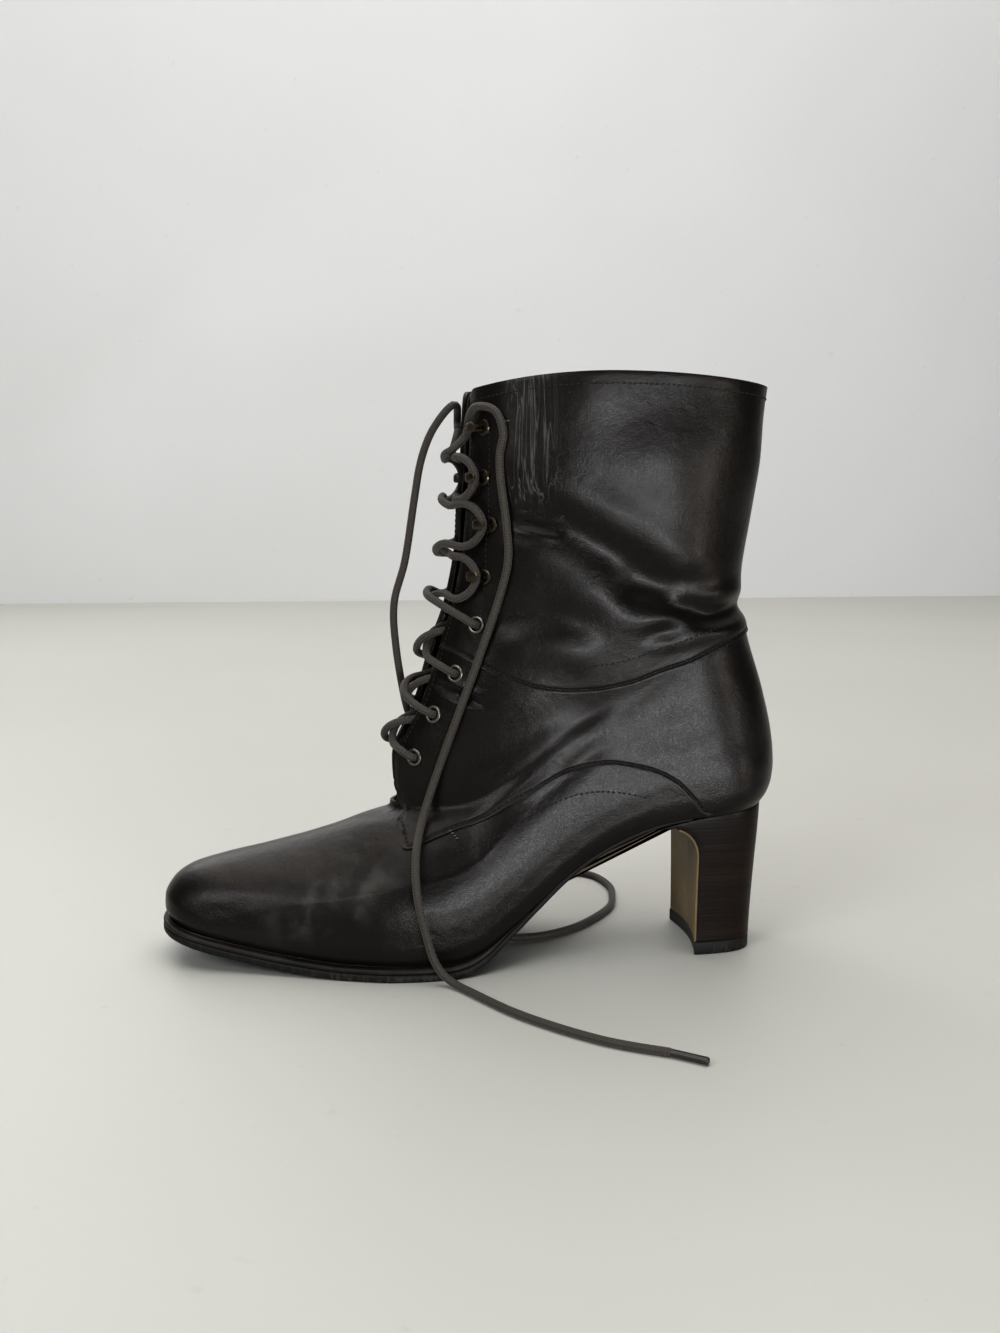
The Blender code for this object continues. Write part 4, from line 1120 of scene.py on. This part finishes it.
class BOOT_OT_sole(bpy.types.Operator):
    """Outsole, and the rand round its forefoot"""

    bl_idname = "boot.sole"
    bl_label = "Outsole and rand"

    def execute(self, context):
        colours = context.scene.boot_colours

        def edge(inset):
            return lambda x: sole["margin"](x) - inset

        def top(x):
            return sole["bottom"](x) + sole["sole"](x)

        def level(share):
            return lambda x: mix(sole["bottom"](x), top(x), share)

        base = sole_ring(edge(0.9), sole["bottom"], SOLE_POINTS, OUTSOLE_END)
        rings = [to_middle(base, s) for s in (1.0, 0.8, 0.6, 0.4, 0.2, 0.06, 0.0)]
        rings += [sole_ring(edge(i), level(s), SOLE_POINTS, OUTSOLE_END)
                  for i, s in ((0.35, 0.06), (0.08, 0.18), (0.0, 0.34), (0.0, 0.66), (0.1, 0.86), (0.5, 1.0))]
        rings += [to_middle(sole_ring(edge(2.0), top, SOLE_POINTS, OUTSOLE_END), s) for s in (0.0, 1.0)]
        outsole = ring_solid("outsole_leather", rings)
        points = points_of(outsole)
        paint(outsole, "rub_and_highlight", np.clip(smooth(4.0, 0.5, points[:, 2]) * 0.9 + 0.25, 0, 1))
        complete(outsole, finish_of("sole_black", rubber, colours.sole), ["outsole"])

        def low(x):
            return top(x) + 0.05

        def high(x):
            return top(x) + np.maximum(sole["rand"](x), 0.02)

        section = ((5.5, 0.0), (0.75, 0.0), (0.35, 0.12), (0.1, 0.35), (0.1, 0.62), (0.4, 0.86), (0.9, 1.0), (5.5, 1.0),
                   (5.5, 0.0))
        strip = [sole_ring(edge(inset), lambda x, share=share: mix(low(x), high(x), share), SOLE_POINTS, RAND_END)
                 for inset, share in section]
        rand = grid_piece("rand_strip", np.stack(strip), True)
        face_out(rand)
        points = points_of(rand)
        paint(rand, "rub_and_highlight", np.full(len(points), 0.55))
        paint(rand, "crack", np.zeros(len(points)))
        look = finish_of("rand_leather", leather, tone(colours.leather, 1.7), colours.rubbed_and_highlight, 0.42)
        complete(rand, look, ["rand"])
        return {"FINISHED"}


def heel_points(angle, rise, proud=0.0):
    """Points of the heel's outside; angle runs round from the middle of the breast, rise from 0 to 1."""
    angle, rise = np.broadcast_arrays(np.asarray(angle, float), np.asarray(rise, float))
    flare = np.maximum(0.0, (rise - BREAST_BEND) / (1 - BREAST_BEND))
    bend = 1 - np.sqrt(np.maximum(1 - flare**2, 0))
    front = mix(HEEL_BASE_FRONT, HEEL_SEAT_FRONT, bend) - proud
    back = mix(HEEL_BASE_BACK, HEEL_SEAT_BACK, rise**1.3)
    half = mix(HEEL_BASE_HALF, HEEL_SEAT_HALF, rise**1.6)
    hollow = BREAST_HOLLOW * (1 - bend)
    reach = np.abs(angle)
    inner = np.minimum(reach / HEEL_CORNER, 1)
    swing = np.clip((reach - HEEL_CORNER) / (math.pi - HEEL_CORNER), 0, 1) * math.pi / 2
    share = np.sin(swing) ** (2 / HEEL_SQUARE)
    side = half * (1 - HEEL_TAPER * share) * np.maximum(np.cos(swing), 0) ** (2 / HEEL_SQUARE)
    breast = reach <= HEEL_CORNER
    x = np.where(breast, front + hollow * (1 - inner**2), mix(front, back, share))
    y = np.copysign(np.where(breast, half * inner, side), angle)
    top = sole["bottom"](x) - 0.1
    return np.stack([x, HEEL_AXIS + y, mix(LIFT + 0.1, top, rise)], axis=-1)


def heel_angles():
    """Angles round the heel, close together at its corners."""
    breast = np.linspace(0, HEEL_CORNER, 22)
    sides = HEEL_CORNER + (math.pi - HEEL_CORNER) * np.linspace(0, 1, 70)
    half = np.concatenate([breast, sides[1:]])
    return np.concatenate([half, -half[-2:0:-1]])


class BOOT_OT_heel(bpy.types.Operator):
    """Stacked heel with its breast cover and top lift"""

    bl_idname = "boot.heel"
    bl_label = "Heel"

    def execute(self, context):
        sizes, colours = chosen(context)
        angles = heel_angles()
        rises = np.concatenate([np.linspace(0, 0.66, 30), np.linspace(0.68, 0.94, 16), np.linspace(0.95, 1.0, 10)])
        rings = [heel_points(angles, rise) for rise in rises]
        block = ring_solid("stacked_heel", rings)
        modified(block, "BEVEL", width=0.0005, segments=2, limit_method="ANGLE", angle_limit=math.radians(50))
        look = finish_of("stacked_stain", stacked, colours.heel, sizes.heel_layer)
        complete(block, look, ["heel_block"], 35)

        across = np.linspace(-1, 1, 41) * HEEL_CORNER * 0.985
        rise = np.concatenate([np.linspace(0.0, 0.66, 24), np.linspace(0.68, 0.955, 22)])
        grid = np.stack([heel_points(across, r) for r in rise])
        along = np.gradient(grid, axis=1)
        upward = np.gradient(grid, axis=0)
        normal = unit(np.cross(upward, along))
        grid = grid + normal * (COVER + 0.1)
        cover = thicken(grid_piece("breast_leather_cover", grid[:, ::-1]), COVER * MM, 0.0003)
        points = points_of(cover)
        paint(cover, "rub_and_highlight", np.clip(0.2 + spots(points, ((93, 20, 12, 0.5), (92, 45, 14, 0.4))), 0, 1))
        paint(cover, "crack", np.zeros(len(points)))
        look = finish_of("breast_leather", leather, colours.breast, tone(colours.breast, 1.6), 0.52)
        complete(cover, look, ["breast_cover"])

        def lift_ring(height, inset):
            ring = heel_points(angles, 0.0, COVER + 0.1)
            middle = ring.mean(axis=0)
            ring = ring - unit(ring - middle) * inset
            ring[:, 2] = height
            return ring

        profile = ((0.0, 0.9), (0.12, 0.4), (0.45, 0.12), (1.0, 0.0), (LIFT - 0.7, 0.0), (LIFT - 0.2, 0.15),
                   (LIFT, 0.5))
        rings = [lift_ring(height, inset) for height, inset in profile]
        lift = ring_solid("heel_top_lift", rings)
        points = points_of(lift)
        paint(lift, "rub_and_highlight", np.clip(smooth(2.5, 0.3, points[:, 2]) * 0.9 + 0.2, 0, 1))
        complete(lift, finish_of("sole_black", rubber, colours.sole), ["top_lift"], 35)
        return {"FINISHED"}


def settled(thing, row, side):
    """Move a piece modelled at the origin, in metres, onto the seat of an eyelet or hook."""
    point, forward, _, normal = seat(row, side)
    turned = Matrix(((*forward, 0), (*np.cross(normal, forward), 0), (*normal, 0), (0, 0, 0, 1))).transposed()
    turned.translation = Vector((point + CENTRE) * MM)
    thing.data.transform(turned)
    return thing


def turned_ring(name, profile, steps=40):
    """A closed ring turned from its half section, given by radius and height in millimetres."""
    angle = np.linspace(0, 2 * math.pi, steps + 1)
    section = np.array(list(profile) + [profile[0]], float)
    points = np.stack([section[:, :1] * np.cos(angle), section[:, :1] * np.sin(angle),
                       np.repeat(section[:, 1:], steps + 1, axis=1)], axis=-1)
    thing = grid_piece(name, points - CENTRE, True)
    face_out(thing)
    return thing


def copied(thing, name):
    made = thing.copy()
    made.data = thing.data.copy()
    bpy.context.scene.collection.objects.link(made)
    return fresh(made, name)


SIDES = ((-1, "lateral"), (1, "medial"))


def set_in_rows(model, kind, first, look):
    """Put a copy of an eyelet or hook on each of its seats, and take the model away."""
    for side, label in SIDES:
        for row in range(4):
            thing = settled(copied(model, f"brass_{kind}_{label}_{row + 1}"), first + row, side)
            complete(thing, look, [f"{kind}_{label}_{row + 1}"])
    bpy.data.objects.remove(model)


class BOOT_OT_eyelets(bpy.types.Operator):
    """Brass eyelets of both flaps"""

    bl_idname = "boot.eyelets"
    bl_label = "Eyelets"

    def execute(self, context):
        sizes, colours = chosen(context)
        flange, bore = sizes.eyelet / MM / 2, sizes.eyelet_bore / MM / 2
        profile = [(bore, -1.9), (bore + 0.35, -1.9), (bore + 0.45, -0.2), (flange - 0.1, -0.1), (flange, 0.12)]
        crown = (flange - bore) / 2
        profile += [(bore + crown + crown * math.cos(a) * 0.98, 0.15 + 0.62 * math.sin(a))
                    for a in np.linspace(0.25, math.pi - 0.1, 9)]
        profile += [(bore, 0.0), (bore - 0.03, -0.9)]
        model = turned_ring("eyelet", profile)
        set_in_rows(model, "eyelet", 0, finish_of("eyelet_brass", antique_brass, colours.rim))
        return {"FINISHED"}


class BOOT_OT_hooks(bpy.types.Operator):
    """Brass lace hooks of both flaps"""

    bl_idname = "boot.hooks"
    bl_label = "Hooks"

    def execute(self, context):
        sizes, colours = chosen(context)
        base = sizes.hook_base / MM / 2
        ring = turned_ring("hook", [(1.1, 0.1), (base - 0.1, 0.0), (base, 0.25), (base - 0.3, 0.75), (base - 0.9, 0.95),
                                    (base - 1.5, 0.8), (1.5, 0.7), (1.1, 0.5)], 36)
        ring.data.transform(Matrix.Translation((-1.9 * MM, 0, 0)))
        path = [(-1.6, 0.45, 1.3), (0.0, 0.5, 1.3), (1.4, 0.75, 1.35)]
        path += [(1.5 + 2.35 * math.sin(a), 3.1 - 2.35 * math.cos(a), 1.35 + 0.2 * a) for a in np.linspace(0.5, 2.7, 9)]
        path += [(1.2, 5.45, 2.0), (0.2, 5.55, 2.15), (-0.9, 5.6, 2.1), (-1.8, 5.6, 1.7), (-2.4, 5.55, 1.1),
                 (-2.7, 5.5, 0.4)]
        path = np.array(path)
        along = unit(np.gradient(path[:, :2], axis=0))
        across = np.stack([-along[:, 1], along[:, 0]], axis=-1)
        round_section = [(math.cos(a), math.sin(a)) for a in np.linspace(0, 2 * math.pi, 17)]
        rows = []
        for (u, h, half), (nu, nh) in zip(path, across):
            rows.append([(u + nu * t * 0.5, w * half, h + nh * t * 0.5) for w, t in
                         ((np.sign(c) * abs(c) ** 0.8, s) for c, s in round_section)])
        rows = np.array(rows)
        middles = rows[:, :-1].mean(axis=1, keepdims=True)
        rows = np.concatenate([np.repeat(middles[:1], 17, axis=1), rows, np.repeat(middles[-1:], 17, axis=1)])
        strip = grid_piece("hook_strip", rows - CENTRE, True)
        face_out(strip)
        choose(ring, strip)
        bpy.ops.object.join()
        set_in_rows(ring, "hook", len(EYELETS), finish_of("antique_brass", antique_brass, colours.brass))
        return {"FINISHED"}


def smooth_path(points, spacing):
    """Evenly spaced points of a smooth curve through the given ones."""
    points = np.asarray(points, float)
    t = np.linspace(0, 1, 24, endpoint=False)[:, None]
    fine = []
    for i in range(len(points) - 1):
        p0, p1, p2, p3 = (points[min(max(i + k, 0), len(points) - 1)] for k in (-1, 0, 1, 2))
        fine.append(0.5 * (2 * p1 + (p2 - p0) * t + (2 * p0 - 5 * p1 + 4 * p2 - p3) * t**2
                           + (3 * p1 - p0 - 3 * p2 + p3) * t**3))
    fine = np.concatenate(fine + [points[-1:]])
    length = run_length(fine)
    at = np.linspace(0, length[-1], max(2, round(length[-1] / spacing)) + 1)
    return np.stack([np.interp(at, length, axis) for axis in fine.T], axis=-1)


def cord_tube(name, line, radius, sides=14, ends=CORD_ENDS):
    """Round tube along a line with rounded ends; its map runs once round, and in centimetres along."""
    line = np.asarray(line, float)
    ahead = unit(np.gradient(line, axis=0))
    side = unit(np.cross(ahead[0], (0.3, 0.5, 0.81)))
    frames = []
    for direction in ahead:
        side = unit(side - direction * side.dot(direction))
        frames.append((side, np.cross(direction, side)))
    angle = np.linspace(0, 2 * math.pi, sides + 1)
    rows, stations = [], []
    length = run_length(line)

    def circle(point, pair, size):
        return point + size * (np.cos(angle)[:, None] * pair[0] + np.sin(angle)[:, None] * pair[1])

    for reach, size in ends:
        rows.append(circle(line[0] + ahead[0] * reach, frames[0], radius * size))
        stations.append(reach)
    for i in range(1, len(line) - 1):
        if ends[-1][0] < length[i] < length[-1] - ends[-1][0]:
            rows.append(circle(line[i], frames[i], radius))
            stations.append(length[i])
    for reach, size in ends[::-1]:
        rows.append(circle(line[-1] - ahead[-1] * reach, frames[-1], radius * size))
        stations.append(length[-1] - reach)
    rows = np.stack(rows)
    thing = grid_piece(name, rows)
    layer = thing.data.uv_layers[0]
    layer.name = "UVMap"
    flat = np.empty(len(layer.data) * 2)
    layer.data.foreach_get("uv", flat)
    flat = flat.reshape(-1, 2)
    flat[:, 1] = np.interp(flat[:, 1], np.linspace(0, 1, len(stations)), np.array(stations) / 10)
    layer.data.foreach_set("uv", flat.ravel())
    in_edit(thing, lambda: bpy.ops.mesh.remove_doubles(threshold=1e-6),
            lambda: bpy.ops.mesh.normals_make_consistent(inside=False))
    return thing


def throat_point(v, y, height):
    """A point over the throat, y off its middle and some height above the flaps' line."""
    turn = math.copysign(float(width_turn(v, abs(y))), y) if abs(y) > 0.01 else 0.0
    return skin(v, turn) + normals(v, turn) * height


def row_level(row):
    """Level at which the flaps' edge has the height of a row of eyelets or hooks."""
    z = (EYELETS + HOOKS)[row][1] - 0.5
    return float(bisect(lambda v: skin(v, -edge_turn(v))[..., 2] < z, np.array(float(THROAT)), np.array(float(TOP))))


def lacing_route(start, rise):
    """One strand from the lowest eyelet of a side to the top hooks, out through the eyelets and round the hooks."""
    route = [from_seat(0, start, *place) for place in EYELET_FOOT]
    side = start
    for row in range(7):
        route += [from_seat(row, side, *place) for place in (EYELET_EXIT if row < 4 else HOOK_LOOP)]
        low, high = row_level(row), row_level(row + 1)
        gap = float(half_throat(mix(low, high, 0.5)))
        for share, across, past, height, lift in (UNDER_FLAP if row < 3 else OVER_FLAP):
            route.append(throat_point(mix(low, high, share), side * (across * gap + past), height + lift * rise))
        if row < 3:
            route.append(from_seat(row + 1, -side, *EYELET_ENTRY))
        side = -side
    return route


class BOOT_OT_lacing(bpy.types.Operator):
    """Lace through the eyelets and round the hooks"""

    bl_idname = "boot.lacing"
    bl_label = "Lacing"

    def execute(self, context):
        sizes, colours = chosen(context)
        look = finish_of("waxed_braid", braid, colours.lace)
        radius = sizes.lace / MM / 2
        first, second = lacing_route(1, STRAND_RISE), lacing_route(-1, -STRAND_RISE)
        last = mix(row_level(6), row_level(7), LAST_SHARE)
        first += [throat_point(last, -LAST_ACROSS, LAST_HEIGHT), np.array(LATERAL_END[0])]
        second += [throat_point(last, LAST_ACROSS, LAST_HEIGHT), np.array(MEDIAL_END[0])]
        bar = [from_seat(0, 1, *EYELET_FOOT[1]), from_seat(0, 1, *BAR_EDGE), throat_point(row_level(0), 0, -BAR_DEPTH),
               from_seat(0, -1, *BAR_EDGE), from_seat(0, -1, *EYELET_FOOT[1])]
        for name, route in (("lace_first_strand", first), ("lace_second_strand", second), ("lace_bottom_bar", bar)):
            strand = cord_tube(name, smooth_path(route, 1.1), radius)
            complete(strand, look, ["lace_crossings"], 60)
        return {"FINISHED"}


class BOOT_OT_lace_ends(bpy.types.Operator):
    """Loose ends of the lace with their aglets"""

    bl_idname = "boot.lace_ends"
    bl_label = "Lace ends"

    def execute(self, context):
        sizes, colours = chosen(context)
        look = finish_of("waxed_braid", braid, colours.lace)
        tip_look = finish_of("aglet_plastic", plain_plastic, tone(colours.lace, 0.55))
        radius = sizes.lace / MM / 2
        for label, route, tip in (("lateral", LATERAL_END, LATERAL_TIP), ("medial", MEDIAL_END, MEDIAL_TIP)):
            line = smooth_path(route, 1.6)
            line[:, 2] = np.maximum(line[:, 2], radius + 0.05)
            cord = cord_tube(f"loose_lace_{label}", line, radius)
            complete(cord, look, [f"lace_end_{label}"], 60)
            way = unit(np.array(tip) - line[-1])
            sleeve = np.linspace(line[-1] - way * AGLET_LAP, np.array(tip), 24)
            aglet = cord_tube(f"lace_tip_{label}", sleeve, AGLET_RADIUS, 18, AGLET_ENDS)
            complete(aglet, tip_look, [f"aglet_{label}"], 50)
        return {"FINISHED"}


def shifted(line, away):
    """A line of levels and turns moved sideways on the leather, to the upper or rear side of its run."""
    v, turn = line.T
    rise = (skin(np.minimum(v + 0.02, TOP), -turn) - skin(np.maximum(v - 0.02, 0), -turn)) / 0.04
    round_ = (skin(v, -turn - 0.01) - skin(v, -turn + 0.01)) / 0.02
    ahead = unit(np.gradient(skin(v, -turn), axis=0))
    aside = unit(np.cross(normals(v, -turn), ahead)) * away
    gram = np.stack([np.stack([(rise * rise).sum(-1), (rise * round_).sum(-1)], -1),
                     np.stack([(rise * round_).sum(-1), (round_ * round_).sum(-1)], -1)], -2)
    push = np.stack([(rise * aside).sum(-1), (round_ * aside).sum(-1)], -1)
    return line + np.linalg.solve(gram, push[..., None])[..., 0]


class BOOT_OT_stitches(bpy.types.Operator):
    """Rows of stitches along the seams, the collar and the flaps"""

    bl_idname = "boot.stitches"
    bl_label = "Stitches"

    def execute(self, context):
        sizes, colours = chosen(context)
        pitch = sizes.stitch_pitch / MM
        seam = drawn(lower_seam, 200)
        above = drawn(upper_seam, 240)
        collar = np.stack([np.full(200, float(TOP)), np.linspace(edge_turn(TOP) + 0.1, math.pi, 200)], axis=-1)
        flap = drawn(np.concatenate([flap_foot[::-1], edge_marks(THROAT_FOOT, FLAP_STITCH_TOP)]), 300)
        rows = [("quarter", shifted(seam, 1.7)), ("vamp", drawn(on_side(VAMP_ROW), 120)),
                ("shaft", shifted(above, 1.6)), ("shaft", drawn(on_side(SHAFT_ROW), 120)),
                ("shaft", shifted(collar, -2.4)), (None, shifted(flap, -2.2)), (None, shifted(flap[60:285], -14.5))]
        placed = []
        for panel, line in rows:
            for side in (-1, 1):
                placed.append(self.row(panel, line, side, pitch, sizes.step / MM))
        self.sew(context, "seam_stitches", np.concatenate(placed), 0.30 * pitch + 0.1, sizes.stitch_width / MM,
                 colours.thread)
        tacks = []
        for x, z, dx, dz in TACKS:
            for side in (-1, 1):
                for k in range(4):
                    ways = (TACK_PITCH * k, TACK_PITCH * k + 1)
                    spot = on_side([(x + dx * way, z + dz * way) for way in ways])
                    tacks.append(self.row(None, drawn(spot, 4), side, 1.2, sizes.step / MM)[:1])
        self.sew(context, "bar_tacks", np.concatenate(tacks), 0.7, 0.7, colours.tack)
        return {"FINISHED"}

    def row(self, panel, line, side, pitch, step):
        """Middle, direction and outward normal of each stitch of a row."""
        length = run_length(skin(line[:, 0], -line[:, 1]))
        at = np.arange(pitch / 2, length[-1], pitch)
        v, turn = (np.interp(at, length, line[:, k]) for k in (0, 1))
        if panel is None:
            upper = v > upper_level(turn)
            points, outward = surface("quarter", v, side * turn, step)
            shaft_points, _ = surface("shaft", v, side * turn, step)
            points = np.where(upper[:, None], shaft_points, points)
        else:
            points, outward = surface(panel, v, side * turn, step)
        ahead = unit(np.gradient(points, axis=0)) if len(points) > 1 else np.zeros((len(points), 3)) + (1.0, 0, 0)
        return np.stack([points, ahead, outward], axis=1)

    def sew(self, context, name, placed, half, width, colour):
        """One mesh of small rounded stitches."""
        bpy.ops.object.select_all(action="DESELECT")
        bpy.ops.mesh.primitive_uv_sphere_add(segments=6, ring_count=5, radius=1.0)
        model = bpy.context.object
        in_edit(model, lambda: bpy.ops.transform.rotate(value=math.pi / 2, orient_axis="Y", center_override=(0, 0, 0)))
        shape = vectors(model.data.vertices, "co")
        shape = np.sign(shape) * np.abs(shape) ** (0.75, 1.0, 1.0) * (half, width / 2, width * 0.42)
        faces = [tuple(p.vertices) for p in model.data.polygons]
        bpy.data.objects.remove(model)
        middle, ahead, outward = placed[:, 0], placed[:, 1], placed[:, 2]
        aside = unit(np.cross(outward, ahead))
        ahead = unit(ahead + aside * 0.12)
        aside = unit(np.cross(outward, ahead))
        points = (middle[:, None] + shape[None, :, :1] * ahead[:, None] + shape[None, :, 1:2] * aside[:, None]
                  + (shape[None, :, 2:] + width * 0.12) * outward[:, None])
        count = len(shape)
        mesh = bpy.data.meshes.new(name)
        mesh.from_pydata(((points.reshape(-1, 3) + CENTRE) * MM).tolist(), [],
                         [tuple(i + count * k for i in face) for k in range(len(points)) for face in faces])
        thing = bpy.data.objects.new(name, mesh)
        context.scene.collection.objects.link(thing)
        face_out(thing)
        complete(thing, finish_of(name + "_thread", lining_leather, colour), ["upper"], 80)


class BOOT_OT_stage(bpy.types.Operator):
    """Pale floor, wall, soft light and camera"""

    bl_idname = "boot.stage"
    bl_label = "Stage"

    def execute(self, context):
        colours = context.scene.boot_colours
        scene = context.scene
        scene.view_settings.view_transform = "Standard"
        scene.view_settings.look = "Medium High Contrast"

        def plane(name, look, place=Matrix()):
            bpy.ops.object.select_all(action="DESELECT")
            bpy.ops.mesh.primitive_plane_add(size=ROOM, location=(0, 0, 0))
            thing = fresh(context.object, name)
            thing.data.transform(place)
            thing.data.materials.append(look)
            return thing

        upright = Matrix.Translation((0, WALL_AWAY, 0)) @ Matrix.Rotation(math.radians(90), 4, "X")
        floor = plane("floor", finish_of("floor_paint", ground, colours.floor, 0.5, 2.5))
        wall = plane("wall", finish_of("wall_paint", ground, colours.wall, 0.75, 1.5), upright)

        world = bpy.data.worlds.new("room")
        scene.world = world
        world.use_nodes = True
        sky = world.node_tree.nodes["Background"].inputs
        sky["Color"].default_value = SKY_COLOUR
        sky["Strength"].default_value = SKY_STRENGTH
        for name, (at, aim, size, power, tint) in LIGHTS.items():
            bpy.ops.object.light_add(type="AREA", location=at)
            light = fresh(context.object, name)
            light.data.shape = "RECTANGLE"
            light.data.size, light.data.size_y = size
            light.data.energy = power
            light.data.color = tint
            light.rotation_euler = (Vector(aim) - Vector(at)).to_track_quat("-Z", "Y").to_euler()

        bpy.ops.object.camera_add()
        camera = fresh(context.object, "camera")
        camera.data.lens = FOCUS_PIXELS / PICTURE[1] * SENSOR
        camera.data.sensor_width = SENSOR
        camera.data.clip_start = 0.01
        pitch = math.atan((PICTURE[1] / 2 - HORIZON) / FOCUS_PIXELS)
        yaw = math.radians(EYE_YAW)
        ahead = Vector((math.sin(yaw) * math.cos(pitch), math.cos(yaw) * math.cos(pitch), -math.sin(pitch)))
        camera.location = Vector(EYE) * MM
        camera.rotation_euler = ahead.to_track_quat("-Z", "Y").to_euler()
        scene.camera = camera
        return {"FINISHED"}


STEPS = (BOOT_OT_stage, BOOT_OT_vamp, BOOT_OT_quarters, BOOT_OT_shaft, BOOT_OT_lining, BOOT_OT_lasting_margin,
         BOOT_OT_tongue, BOOT_OT_insole, BOOT_OT_sole, BOOT_OT_heel, BOOT_OT_eyelets, BOOT_OT_hooks, BOOT_OT_lacing,
         BOOT_OT_lace_ends, BOOT_OT_stitches)


class BOOT_PT_panel(bpy.types.Panel):
    """The boot's pieces, sizes and colours"""

    bl_idname = "BOOT_PT_panel"
    bl_label = "Boot"
    bl_space_type = "VIEW_3D"
    bl_region_type = "UI"
    bl_category = "Boot"

    def draw(self, context):
        for step in STEPS:
            self.layout.operator(step.bl_idname)
        for group in (context.scene.boot_sizes, context.scene.boot_colours):
            for name in group.__annotations__:
                self.layout.prop(group, name)


CLASSES = (BootSizes, BootColours, *STEPS, BOOT_PT_panel)


def register():
    for each in CLASSES:
        bpy.utils.register_class(each)
    bpy.types.Scene.boot_sizes = PointerProperty(type=BootSizes)
    bpy.types.Scene.boot_colours = PointerProperty(type=BootColours)


def unregister():
    del bpy.types.Scene.boot_colours
    del bpy.types.Scene.boot_sizes
    for each in reversed(CLASSES):
        bpy.utils.unregister_class(each)


def main():
    register()
    for step in STEPS:
        getattr(bpy.ops.boot, step.bl_idname.split(".")[1])()


if __name__ == "__main__":
    main()
